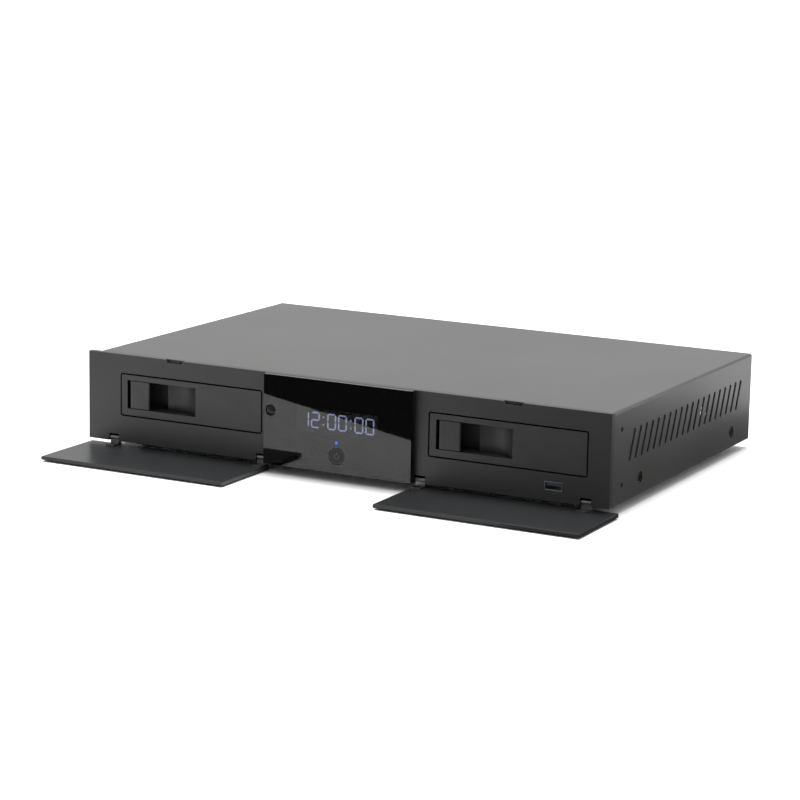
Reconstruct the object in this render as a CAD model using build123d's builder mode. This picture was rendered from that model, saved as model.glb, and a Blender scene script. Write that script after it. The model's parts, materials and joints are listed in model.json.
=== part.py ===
from build123d import *

import os
from math import cos, radians, sin, tan

os.makedirs("parts", exist_ok=True)

# A media player for the hi-fi rack: a shallow steel case behind a thick front
# plate. A glass panel with the clock stands in the middle. On each side a thin
# door folds down on two hinges and uncovers a hard drive tray that pulls out.
#
# Axes: +X to the right, +Y to the back, +Z up. The pieces are drawn about a point
# on the floor under the middle of the front plate's front face. Each finished
# piece is then moved, so that the origin lies on the floor under the middle of the
# whole object, open doors and sockets included.

# ---------------------------------------------------------------------------
# Driving dimensions, in millimetres. The trays are as wide as a hard drive, its
# pads, carrier and cage need, each door is as wide as its tray's window and its
# margins, and the glass panel fills what is left between the doors. A name that
# ends in _share is a plain number: where something lies along another size.
# ---------------------------------------------------------------------------

# Case
plate_width = 430.0  # the usual width of hi-fi equipment
plate_height = 67.0
plate_thickness = 5.0
plate_overhang = 7.0  # the plate reaches this far past the cover's left side
case_depth = 267.0  # cover, from the back of the plate to the back
foot_height = 7.0
foot_radius = 10.0
foot_inset = 28.0
foot_taper = 4.0  # degrees, narrower at the floor
sheet = 1.2  # steel sheet of cover, base and back
slip = 0.2  # gap between sheets that are screwed together
bend = 2.0  # outer bend radius of the cover
flange_height = 20.0  # upturned sides of the base
seam = 0.3  # gap round a socket in the panel it passes through
few_sides = 8  # round things that repeat out of sight are drawn with flat sides
more_sides = 16  # small pins and holes, and the feet

# Side vents and screws, measured from the plate's front face and bottom edge, or
# where it says so from the back of the case
vent_count = 20
vent_start = 37.3
vent_end = 26.7  # middle of the last vent, from the back of the case
vent_middle = 38.9
vent_height = 22.0
vent_width = 3.6
vent_lean = 22.5  # degrees, the top leans to the back
vent_end_cut = 1.0  # cut off the corners of a slot
side_screw_front = 53.9
side_screw_back = 38.4  # from the back of the case
side_screw_rise = 12.0
side_hole_places = ((18.2, 53.0), (20.9, 13.0))
side_hole_radius = 1.9
screw_access_radius = 4.6
screw_radius = 1.5
screw_clearance = 0.1
screw_head_radius = 3.0
screw_head_height = 1.6
board_screw_length = 4.0
screw_grip = 3.6  # length of a cage screw in the plate

# Glass panel with display, lamp, receiver and power button
glass_thickness = 2.0
display_shift = -0.3  # shifts are from the middle of the glass, to the right
display_inset = 27.8  # from the ends of the glass
display_rise = 37.0  # heights are from the plate's bottom edge
display_height = 17.0
display_depth = 10.2
digit_height = 10.9
digit_width_share = 0.0940  # of the display's width
digit_pitch_share = 0.1350
colon_pitch_share = 0.0697
segment_width = 1.1
segment_thickness = 0.2
segment_gap = 0.25
lamp_shift = 0.1
lamp_rise = 22.5
lamp_radius = 1.2
receiver_inset = 5.8  # from the left end of the glass
receiver_rise = 40.3
receiver_radius = 4.2
receiver_recess = 0.8  # the lens lies this far inside the glass
lens_chamfer = 0.5
button_shift = 0.6
button_rise = 12.6
button_radius = 6.2
button_chamfer = 0.4
button_flange = 1.1
button_travel = 0.8
button_clearance = 0.2
button_stem_radius = 1.5
switch_size = 6.0
switch_height = 3.4
front_board_inset = 7.8  # from the ends of the glass
front_board_margin = 8.5  # from the plate's top and bottom edges
board_thickness = 1.6
front_board_gap = 2.0
boss_radius = 3.0
boss_inset = 5.0

# Doors and their hinges
door_spare = 32.5  # a door is this much wider than its window
door_overhang = 5.5  # the right door reaches this far past the plate
door_thickness = 2.8
door_edge_chamfer = 0.6
door_stand_off = 2.8  # a shut door's inner face stands this far off the plate
door_glass_gap = 0.5
door_bottom_gap = 0.4
hinge_depth = 2.4  # axis behind the plate's front face
hinge_rise = 2.2  # axis above the plate's bottom edge
hinge_outset = 6.0  # of the left hinge, outside the window's left end
hinge_inset = 0.8  # of the right hinge, inside the window's right end
knuckle_radius = 2.0
hinge_pin_radius = 0.8
running_fit = 0.05  # radial clearance of a pin in a moving part
hinge_width = 7.6
hinge_slot_gap = 0.5
hinge_slot_rise = 5.4
hinge_slot_depth = 4.6
hinge_arm_share = 1.5  # of the knuckle's radius
hinge_leaf_length = 10.4
hinge_leaf_thickness = 0.8
hinge_pin_grip = 3.0  # length of pin in the plate, each side of the slot
notch_shift = -2.4  # door catch, from the middle of the door
notch_width = 16.0
notch_depth = 2.6
notch_drop = 2.4
notch_flank = 50.0  # degrees
catch_width = 9.0
catch_thickness = 0.8
catch_drop = 1.2  # below the plate's top

# Trays and the cages that they slide in
left_window_margin = 28.5  # from the door's left end to the window's
right_window_margin = 10.2
tray_rise = 36.5  # middle of the trays above the plate's bottom edge
window_height = 33.0
window_radius = 2.2
tray_gap = 1.1  # between a tray's face and the window
face_thickness = 3.0
recess_inset = 6.2  # finger recess, from the window's left end
recess_width = 60.2
recess_height = 21.6
recess_lift = 0.6
recess_depth = 12.0
well_depth = 17.0  # behind the lever, beside the scoop
recess_wall = 1.8
scoop_chord = 40.4
scoop_share = 0.25  # of the chord, where the well cuts into the scoop
lever_width = 17.6
lever_gap = 1.6
lever_play = 0.5
lever_thickness = 2.4
lever_axis_depth = 2.2
lever_barrel_radius = 1.9
lever_pin_radius = 0.75
lever_tail = 6.0
carrier_back_gap = 12.0  # behind the carrier, for the drive's socket
carrier_side_gap = 2.5
carrier_wall = 3.0
carrier_floor = 2.0
carrier_drop = 14.5  # carrier's underside below the tray's middle
carrier_side_height = 24.0
runner_height = 3.4
runner_width = 2.0
rail_gap = 0.3
rail_height = 2.0
rail_width = 2.0
drive_width = 101.6  # a 3.5-inch drive
drive_length = 147.0
drive_hole_across = 95.25
drive_hole_along = 44.45
drive_hole_back = 41.28  # from the drive's plug end to its first holes
drive_hole_radius = 1.9
drive_front_gap = 2.0
drive_side_room = 4.7  # beside the drive, for its pads
drive_side_gap = 0.7  # pad to drive
floor_cut_share = 0.7  # of the drive's width
floor_cut_pitch_share = 0.4  # of the carrier's length
pad_length = 8.0
pad_shares = (0.28, 0.82)  # of the carrier's length
cage_inset = 1.0  # window edge to the inside of the cage
cage_inner_height = 34.0
cage_wall = 2.0
cage_flange = 7.0
cage_window_share = 0.7  # of the cage's inner width
cage_window_rows = 4
cage_leg_radius = 4.0
cage_leg_share = 0.41  # of the cage's inner width, each side of its middle
cage_leg_inset = 40.0  # from the cage's front and back
grommet_height = 3.0
grommet_radius = 5.5
plug_size = (40.0, 10.0, 6.0)
plug_shift = 30.0  # from the tray's middle
plug_rise = 3.5
plug_slot_margin = 2.0
plug_slot_height = 1.6

# Front socket for a memory stick
usb_inset = 42.7  # from the plate's right end
usb_rise = 10.9
usb_opening = (12.6, 5.2)
usb_shell = 0.4
usb_depth = 14.0
usb_board_size = (19.0, 30.0)

# Boards at the back
board_rise = 6.0
board_inset = 8.0  # of a stand-off from the board's edge
standoff_radius = 3.0
supply_board_inset = 15.0  # from the plate's left end
supply_board_width = 125.0
main_board_inset = 75.0  # from the plate's right end
board_spacing = 20.0  # between the two boards
rear_board_length = 80.0
rear_board_gap = 3.0
cage_board_gap = 6.2  # from the drive boards to the boards behind them
sink_size = (50.0, 40.0, 22.0)
sink_shift = 20.0  # right of its board's middle
sink_inset = 10.0  # from its board's front edge
sink_foot = 4.0
sink_fins = 9
sink_fin_thickness = 1.6
transformer_size = (38.0, 34.0, 30.0)
transformer_corner = 3.0
capacitor_radius = 9.0
capacitor_height = 32.0
capacitor_pitch = 24.0
capacitor_count = 2

# Fan
fan_size = 50.0
fan_depth = 15.0
fan_inset = 40.0  # middle of the fan from the plate's right end
fan_rise = 33.5
fan_bore_radius = 23.0
fan_hub_radius = 9.0
fan_hub_gap = 1.0
fan_strut = 3.0
fan_strut_bite = 0.5  # how far a strut reaches into the frame
fan_blades = 7
fan_blade_thickness = 1.2
fan_blade_lean = 32.0  # degrees
fan_blade_root = 1.0  # how far a blade starts inside the hub
fan_tip_gap = 0.8
fan_hole_pitch = 40.0
fan_hole_radius = 1.8
fan_axle_radius = 1.5
fan_axle_cap = 2.0  # of hub behind the axle's end
grille_rings = (9.0, 13.5, 18.0)
grille_slot = 2.6
grille_ribs = (45, 135)  # degrees

# Sockets on the back panel: middles as shares of the main board's width from its
# left edge, sizes as (width, height), hollows as (width, height, rise of the
# middle above the board)
socket_depth = 16.0
socket_reach = 0.6  # out of the back panel
socket_hollow_share = 0.6  # of the socket's depth
hdmi_share = 0.908
hdmi_size = (15.0, 6.4)
hdmi_hollow = (13.8, 4.6, 3.2)
network_share = 0.774
network_size = (16.0, 14.0)
network_hollow = (11.8, 8.6, 6.6)
usb_pair_share = 0.651
usb_pair_size = (14.6, 16.0)
usb_pair_hollows = ((12.6, 5.2, 4.2), (12.6, 5.2, 11.8))
optical_share = 0.538
optical_size = (10.0, 10.0)
optical_hollow = (6.0, 6.0, 5.0)
audio_shares = (0.436, 0.364)
video_shares = (0.241, 0.169, 0.097)
jack_radius = 4.2
jack_rise = 8.0  # above the main board
jack_reach = 8.0  # out of the back panel
jack_body_depth = 12.0
jack_body_wall = 0.5
inlet_inset = 50.0  # middle of the inlet from the plate's left end
inlet_rise = 33.0
inlet_body = (27.0, 19.6)
inlet_flange = (31.0, 24.0)
inlet_flange_thickness = 2.4
inlet_cavity = (24.4, 16.6)
inlet_cavity_depth = 14.0
inlet_length = 22.0
inlet_pin = (2.0, 4.0)
inlet_pin_pitch = 14.0
inlet_pin_rise = 2.8  # of the outer pins, and the middle pin's drop
rocker_inset = 100.0  # middle of the switch from the plate's left end
rocker_rise = 33.0
rocker_flange = (21.0, 15.0)
rocker_flange_thickness = 1.6
rocker_body = (19.0, 12.6)
rocker_cavity = (15.4, 9.6)
rocker_length = 14.0
rocker_floor = 2.0
rocker_play = 0.8
rocker_tilt = 7.0  # degrees each way
rocker_crest = 1.2  # proud of its flange
rocker_axis_inset = 1.0  # of the axis inside the back panel's outer face
rocker_drop = 2.2  # of the rocker's underside below its axis
rocker_taper_share = 0.93  # of the rocker's width, at its underside
rocker_trunnion = 1.2

# ---------------------------------------------------------------------------
# Positions worked out from them
# ---------------------------------------------------------------------------

plate_bottom = foot_height
plate_top = plate_bottom + plate_height
plate_back = plate_thickness
plate_edge = plate_width / 2
cover_left = plate_overhang - plate_edge
cover_right = plate_edge
case_back = plate_back + case_depth
base_left = cover_left + sheet + slip
base_right = cover_right - sheet - slip
floor_top = plate_bottom + sheet
panel_front = case_back - sheet  # inner face of the back panel
roof = plate_top - sheet

carrier_inner_width = drive_width + 2 * drive_side_room
carrier_width = carrier_inner_width + 2 * carrier_wall
cage_inner_width = carrier_width + 2 * carrier_side_gap
window_width = cage_inner_width + 2 * cage_inset
door_width = window_width + door_spare
left_door_span = (-plate_edge, door_width - plate_edge)
right_door_end = plate_edge + door_overhang
right_door_span = (right_door_end - door_width, right_door_end)
trays = {
    "left": left_door_span[0] + left_window_margin + window_width / 2,
    "right": right_door_span[0] + right_window_margin + window_width / 2,
}
doors = {"left": left_door_span, "right": right_door_span}

glass_left = left_door_span[1] + door_glass_gap
glass_right = right_door_span[0] - door_glass_gap
glass_middle = (glass_left + glass_right) / 2
glass_front = -(door_stand_off + door_thickness)  # in line with shut doors
glass_back = glass_front + glass_thickness
display_width = glass_right - glass_left - 2 * display_inset
display_x = glass_middle + display_shift
display_z = plate_bottom + display_rise
lamp_x = glass_middle + lamp_shift
receiver_x = glass_left + receiver_inset
button_x = glass_middle + button_shift
button_z = plate_bottom + button_rise

hinge_z = plate_bottom + hinge_rise
door_inner = hinge_z - hinge_depth - door_stand_off  # upper side of an open door
door_outer = door_inner - door_thickness
door_front = hinge_depth - (plate_top - hinge_z)
door_back = hinge_depth + hinge_rise - door_bottom_gap

object_left = min(-plate_edge, left_door_span[0])
object_right = max(plate_edge, right_door_span[1])
object_back = case_back + max(jack_reach, inlet_flange_thickness)
object_middle = ((object_left + object_right) / 2, (door_front + object_back) / 2)

tray_z = plate_bottom + tray_rise
face_width = window_width - 2 * tray_gap
face_height = window_height - 2 * tray_gap
recess_start = recess_inset - window_width / 2  # from the middle of the tray
recess_end = recess_start + recess_width
pocket_back = well_depth + recess_wall
drive_start = pocket_back + drive_front_gap
board_bottom = floor_top + board_rise
board_top = board_bottom + board_thickness
rear_board_front = panel_front - rear_board_gap - rear_board_length
rear_board_back = panel_front - rear_board_gap
cage_back = rear_board_front - cage_board_gap - board_thickness
cage_length = cage_back - plate_back
cage_bottom = tray_z - cage_inner_height / 2 - cage_wall
carrier_back = cage_back - carrier_back_gap
carrier_length = carrier_back - face_thickness
supply_board_left = supply_board_inset - plate_edge
supply_board_span = (supply_board_left, supply_board_left + supply_board_width)
main_board_span = (supply_board_span[1] + board_spacing, plate_edge - main_board_inset)

usb_x = plate_edge - usb_inset
usb_middle_z = plate_bottom + usb_rise
usb_low = usb_middle_z - usb_opening[1] / 2 - usb_shell


# ---------------------------------------------------------------------------
# Helpers
# ---------------------------------------------------------------------------


def block(x, y, z, mode=Mode.ADD):
    """A box that reaches between the two values given along each axis."""
    with Locations(((x[0] + x[1]) / 2, (y[0] + y[1]) / 2, (z[0] + z[1]) / 2)):
        Box(x[1] - x[0], y[1] - y[0], z[1] - z[0], mode=mode)


def rod(radius, x, y, z, along, mode=Mode.ADD):
    """A cylinder along one axis: the value for that axis is a (start, end) pair."""
    turn = {"x": (0, 90, 0), "y": (-90, 0, 0), "z": (0, 0, 0)}[along]
    span = {"x": x, "y": y, "z": z}[along]
    middle = sum(span) / 2
    place = {"x": (middle, y, z), "y": (x, middle, z), "z": (x, y, middle)}[along]
    with Locations(place):
        Cylinder(radius, span[1] - span[0], rotation=turn, mode=mode)


def prism(radius, x, y, z, along, mode=Mode.ADD, sides=few_sides):
    """A rod with flat sides, for what repeats and hardly shows."""
    start, end = {"x": x, "y": y, "z": z}[along]
    foot = {"x": (start, y, z), "y": (x, start, z), "z": (x, y, start)}[along]
    way = {"x": (1, 0, 0), "y": (0, 1, 0), "z": (0, 0, 1)}[along]
    with BuildSketch(Plane(origin=foot, z_dir=way)) as section:
        RegularPolygon(radius, sides)
    extrude(section.sketch, amount=end - start, mode=mode)


def fine_prism(radius, x, y, z, along, mode=Mode.ADD):
    """A prism with more sides, for small pins and holes."""
    prism(radius, x, y, z, along, mode, more_sides)


def span_of(middle, size):
    """The (low, high) pair of a size laid about its middle."""
    return (middle - size / 2, middle + size / 2)


def save(piece, name):
    """Move one finished piece to the object's origin, label it and write its file."""
    placed = piece.part.moved(Location((-object_middle[0], -object_middle[1], 0)))
    placed.label = name
    export_step(placed, f"parts/{name}.step")


def front_plane(y):
    """A plane that looks at the object's front: X to the right, Z up, at depth y."""
    return Plane(origin=(0, y, 0), x_dir=(1, 0, 0), z_dir=(0, -1, 0))


def screw(head_at, tip_at, x, z):
    """A screw along Y, its head's underside at head_at."""
    way = 1 if tip_at > head_at else -1
    prism(screw_radius, x, sorted((head_at, tip_at)), z, "y")
    prism(screw_head_radius, x, sorted((head_at, head_at - way * screw_head_height)), z, "y")


# ---------------------------------------------------------------------------
# Case
# ---------------------------------------------------------------------------


def vent_cutter(side_x):
    """The row of leaning slots through one side of the cover."""
    side = Plane(origin=(side_x, 0, plate_bottom), x_dir=(0, 1, 0), z_dir=(1, 0, 0))
    vent_length = vent_height / cos(radians(vent_lean))
    vent_pitch = (case_back - vent_end - vent_start) / (vent_count - 1)
    with BuildSketch(side) as slots:
        for number in range(vent_count):
            with Locations((vent_start + number * vent_pitch, vent_middle)):
                Rectangle(vent_length, vent_width, rotation=90 - vent_lean)
        chamfer(slots.vertices(), vent_end_cut)
    extrude(slots.sketch, amount=2 * sheet, both=True, mode=Mode.SUBTRACT)


side_screw_places = [
    (along, side_screw_rise) for along in (side_screw_front, case_back - side_screw_back)
]


with BuildPart() as base_chassis:
    block((base_left, base_right), (plate_back, case_back), (plate_bottom, floor_top))
    for wall in ((base_left, base_left + sheet), (base_right - sheet, base_right)):
        block(wall, (plate_back, panel_front), (floor_top, plate_bottom + flange_height))
    for wall_x in (base_left + sheet / 2, base_right - sheet / 2):
        for along, up in side_screw_places:
            wall_span = (wall_x - sheet, wall_x + sheet)
            z = plate_bottom + up
            prism(screw_radius + screw_clearance, wall_span, along, z, "x", Mode.SUBTRACT)
save(base_chassis, "base_chassis")

with BuildPart() as top_cover:
    with BuildSketch(front_plane(plate_back)):
        with Locations(((cover_left + cover_right) / 2, (plate_bottom + plate_top) / 2)):
            Rectangle(cover_right - cover_left, plate_height)
    extrude(amount=-case_depth)
    fillet(top_cover.faces().sort_by(Axis.Z)[-1].edges().filter_by(Axis.Y), bend)
    block(
        (cover_left + sheet, cover_right - sheet),
        (plate_back, case_back),
        (plate_bottom, roof),
        Mode.SUBTRACT,
    )
    for side_x in (cover_left, cover_right):
        vent_cutter(side_x)
        for places, radius in (
            (side_screw_places, screw_access_radius),
            (side_hole_places, side_hole_radius),
        ):
            for along, up in places:
                cut_span = (side_x - 2 * sheet, side_x + 2 * sheet)
                fine_prism(radius, cut_span, along, plate_bottom + up, "x", Mode.SUBTRACT)
save(top_cover, "top_cover")

with BuildPart() as cover_screws:
    for inner, outer in ((base_left + sheet, base_left), (base_right - sheet, base_right)):
        way = 1 if outer > inner else -1
        for along, up in side_screw_places:
            z = plate_bottom + up
            shank = sorted((inner - way * board_screw_length, outer))
            head = sorted((outer, outer + way * sheet))
            prism(screw_radius, shank, along, z, "x")
            prism(screw_head_radius, head, along, z, "x")
save(cover_screws, "cover_screws")

with BuildPart() as feet:
    foot_x = (base_left + foot_inset, base_right - foot_inset)
    foot_y = (plate_back + foot_inset, case_back - foot_inset)
    with BuildSketch(Plane.XY):
        with Locations(*[(x, y) for x in foot_x for y in foot_y]):
            RegularPolygon(foot_radius, more_sides)
    extrude(amount=foot_height, taper=-foot_taper)
save(feet, "feet")

# ---------------------------------------------------------------------------
# Front plate
# ---------------------------------------------------------------------------

front_board_x = (glass_left + front_board_inset, glass_right - front_board_inset)
front_board_z = (plate_bottom + front_board_margin, plate_top - front_board_margin)
boss_places = [
    (x, z)
    for x in (front_board_x[0] + boss_inset, front_board_x[1] - boss_inset)
    for z in (front_board_z[0] + boss_inset, front_board_z[1] - boss_inset)
]
board_y = plate_back + front_board_gap
display_window = (
    span_of(display_x, display_width + 2 * seam),
    span_of(display_z, display_height + 2 * seam),
)
cage_screw_z = [tray_z + up * cage_inner_height / 4 for up in (-1, 1)]


def hinge_slots(middle):
    """The (left, right) pair of each hinge slot below one tray."""
    width = hinge_width + 2 * hinge_slot_gap
    places = (-window_width / 2 - hinge_outset, window_width / 2 - hinge_inset)
    return [span_of(middle + place, width) for place in places]


def cage_flange_middle(middle, across):
    """The middle of a cage's left or right flange, where its screws go."""
    return middle + across * (cage_inner_width / 2 + cage_wall + cage_flange / 2)


with BuildPart() as front_plate:
    block((-plate_edge, plate_edge), (0, plate_back), (plate_bottom, plate_top))
    for middle in trays.values():
        with BuildSketch(front_plane(0)):
            with Locations((middle, tray_z)):
                RectangleRounded(window_width, window_height, window_radius)
        extrude(amount=-plate_thickness, mode=Mode.SUBTRACT)
        for slot in hinge_slots(middle):
            slot_z = (plate_bottom, plate_bottom + hinge_slot_rise)
            block(slot, (0, hinge_slot_depth), slot_z, Mode.SUBTRACT)
            pin_span = (slot[0] - hinge_pin_grip, slot[1] + hinge_pin_grip)
            fine_prism(hinge_pin_radius, pin_span, hinge_depth, hinge_z, "x", Mode.SUBTRACT)
        for across in (-1, 1):
            flange_x = cage_flange_middle(middle, across)
            tapped_y = (plate_back - screw_grip, plate_back)
            for z in cage_screw_z:
                bore = screw_radius + screw_clearance
                prism(bore, flange_x, tapped_y, z, "y", Mode.SUBTRACT)
    for span in doors.values():
        notch_x = sum(span) / 2 + notch_shift
        with BuildSketch(front_plane(0)):
            with Locations((notch_x, plate_top - notch_drop / 2)):
                Trapezoid(notch_width, notch_drop, notch_flank, rotation=180)
        extrude(amount=-notch_depth, mode=Mode.SUBTRACT)
    usb_cut_x = span_of(usb_x, usb_opening[0] + 2 * (usb_shell + seam))
    usb_cut_z = span_of(usb_middle_z, usb_opening[1] + 2 * (usb_shell + seam))
    block(usb_cut_x, (0, plate_back), usb_cut_z, Mode.SUBTRACT)
    block(display_window[0], (0, plate_back), display_window[1], Mode.SUBTRACT)
    for x, rise, radius in (
        (lamp_x, lamp_rise, lamp_radius),
        (receiver_x, receiver_rise, receiver_radius),
        (button_x, button_rise, button_radius),
    ):
        z = plate_bottom + rise
        fine_prism(radius + seam, x, (0, plate_back), z, "y", Mode.SUBTRACT)
    for x, z in boss_places:
        prism(boss_radius, x, (plate_back, board_y), z, "y")
save(front_plate, "front_plate")

with BuildPart() as door_catches:
    for span in doors.values():
        notch_x = sum(span) / 2 + notch_shift
        block(
            span_of(notch_x, catch_width),
            (notch_depth - catch_thickness, notch_depth),
            (plate_top - notch_drop, plate_top - catch_drop),
        )
save(door_catches, "door_catches")

# ---------------------------------------------------------------------------
# Glass panel, display and power button
# ---------------------------------------------------------------------------


def panel_holes(depth, extra, draw):
    """Holes for the lamp, the receiver and the power button, drawn by rod or prism."""
    for x, rise, radius in (
        (lamp_x, lamp_rise, lamp_radius + extra),
        (receiver_x, receiver_rise, receiver_radius + extra),
        (button_x, button_rise, button_radius + button_clearance),
    ):
        draw(radius, x, depth, plate_bottom + rise, "y", Mode.SUBTRACT)


with BuildPart() as glass_panel:
    glass_z = (plate_bottom, plate_top)
    block((glass_left, glass_right), (glass_front, glass_back), glass_z)
    panel_holes((glass_front, glass_back), screw_clearance, rod)
save(glass_panel, "glass_panel")

with BuildPart() as panel_carrier:
    block((glass_left, glass_right), (glass_back, 0), glass_z)
    block(display_window[0], (glass_back, 0), display_window[1], Mode.SUBTRACT)
    panel_holes((glass_back, 0), screw_clearance, fine_prism)
    flange_bore = button_radius + button_flange + button_clearance
    flange_seat = glass_back + button_flange + button_travel
    fine_prism(flange_bore, button_x, (glass_back, flange_seat), button_z, "y", Mode.SUBTRACT)
save(panel_carrier, "panel_carrier")

display_front = board_y - display_depth
with BuildPart() as display_module:
    module_x = span_of(display_x, display_width)
    module_z = span_of(display_z, display_height)
    block(module_x, (display_front, board_y), module_z)
save(display_module, "display_module")

# Which of the seven segments each digit lights: top, upper right, lower right,
# bottom, lower left, upper left, middle.
lit_segments = {"0": (1, 1, 1, 1, 1, 1, 0), "1": (0, 1, 1, 0, 0, 0, 0), "2": (1, 1, 0, 1, 1, 0, 1)}
clock_text = "12:00:00"
half_height = digit_height / 2
digit_width = digit_width_share * display_width
digit_pitch = digit_pitch_share * display_width
colon_pitch = colon_pitch_share * display_width
segment_middles = (
    (0, half_height, 0),
    (digit_width / 2, half_height / 2, 90),
    (digit_width / 2, -half_height / 2, 90),
    (0, -half_height, 0),
    (-digit_width / 2, -half_height / 2, 90),
    (-digit_width / 2, half_height / 2, 90),
    (0, 0, 0),
)


def digit_segment(x, z, turn):
    """One bar with pointed ends, laid flat or upright."""
    bar_length = (half_height if turn else digit_width) - 2 * segment_gap
    half_bar, half_width = bar_length / 2, segment_width / 2
    with Locations(Location((x, z), turn)):
        Polygon(
            (-half_bar, 0),
            (half_width - half_bar, half_width),
            (half_bar - half_width, half_width),
            (half_bar, 0),
            (half_bar - half_width, -half_width),
            (half_width - half_bar, -half_width),
        )


with BuildPart() as display_digits:
    widths = [colon_pitch if mark == ":" else digit_pitch for mark in clock_text]
    pen = display_x - sum(widths) / 2
    with BuildSketch(front_plane(display_front)):
        for mark, width in zip(clock_text, widths):
            middle = pen + width / 2
            if mark == ":":
                dots = [(middle, display_z + up * half_height / 2) for up in (-1, 1)]
                with Locations(*dots):
                    Rectangle(segment_width, segment_width)
            else:
                for (x, z, turn), lit in zip(segment_middles, lit_segments[mark]):
                    if lit:
                        digit_segment(middle + x, display_z + z, turn)
            pen += width
    extrude(amount=segment_thickness)
save(display_digits, "display_digits")

with BuildPart() as status_lamp:
    rod(lamp_radius, lamp_x, (glass_front, board_y), plate_bottom + lamp_rise, "y")
save(status_lamp, "status_lamp")

with BuildPart() as receiver_lens:
    lens_y = (glass_front + receiver_recess, plate_back - slip)
    rod(receiver_radius, receiver_x, lens_y, plate_bottom + receiver_rise, "y")
    chamfer(receiver_lens.faces().sort_by(Axis.Y)[0].edges(), lens_chamfer)
save(receiver_lens, "receiver_lens")

with BuildPart() as power_button:
    rod(button_radius, button_x, (glass_front, plate_back / 2), button_z, "y")
    flange_y = (glass_back, glass_back + button_flange)
    rod(button_radius + button_flange, button_x, flange_y, button_z, "y")
    stem_y = (plate_back / 2, board_y - switch_height)
    prism(button_stem_radius, button_x, stem_y, button_z, "y")
    chamfer(power_button.faces().sort_by(Axis.Y)[0].edges(), button_chamfer)
save(power_button, "power_button")

with BuildPart() as front_board:
    block(front_board_x, (board_y, board_y + board_thickness), front_board_z)
save(front_board, "front_board")

with BuildPart() as button_switch:
    switch_y = (board_y - switch_height + button_travel + seam, board_y)
    block(span_of(button_x, switch_size), switch_y, span_of(button_z, switch_size))
save(button_switch, "button_switch")

# ---------------------------------------------------------------------------
# Doors
# ---------------------------------------------------------------------------

for side, span in doors.items():
    with BuildPart() as door:
        block(span, (door_front, door_back), (door_outer, door_inner))
        chamfer(door.edges().group_by(Axis.Y)[0].filter_by(Axis.X), door_edge_chamfer)
    save(door, f"{side}_door")

    with BuildPart() as door_hinges:
        for slot in hinge_slots(trays[side]):
            leaf_x = (slot[0] + hinge_slot_gap, slot[1] - hinge_slot_gap)
            leaf_y = (door_back - hinge_leaf_length, door_back)
            block(leaf_x, leaf_y, (door_inner, door_inner + hinge_leaf_thickness))
            arm_y = span_of(hinge_depth, hinge_arm_share * knuckle_radius)
            block(leaf_x, arm_y, (door_inner, hinge_z))
            rod(knuckle_radius, leaf_x, hinge_depth, hinge_z, "x")
            bore = hinge_pin_radius + running_fit
            rod(bore, leaf_x, hinge_depth, hinge_z, "x", Mode.SUBTRACT)
    save(door_hinges, f"{side}_door_hinges")

with BuildPart() as hinge_pins:
    for middle in trays.values():
        for slot in hinge_slots(middle):
            pin_span = (slot[0] - hinge_pin_grip, slot[1] + hinge_pin_grip)
            fine_prism(hinge_pin_radius, pin_span, hinge_depth, hinge_z, "x")
save(hinge_pins, "hinge_pins")

# ---------------------------------------------------------------------------
# Trays: face with finger recess, lever, carrier, pads
# ---------------------------------------------------------------------------

recess_z = tray_z + recess_lift
recess_span_z = span_of(recess_z, recess_height)
half_chord = scoop_chord / 2
scoop_radius = (half_chord**2 + recess_depth**2) / (2 * recess_depth)
lever_start = recess_start + lever_gap
lever_axis = lever_start + lever_barrel_radius

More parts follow.
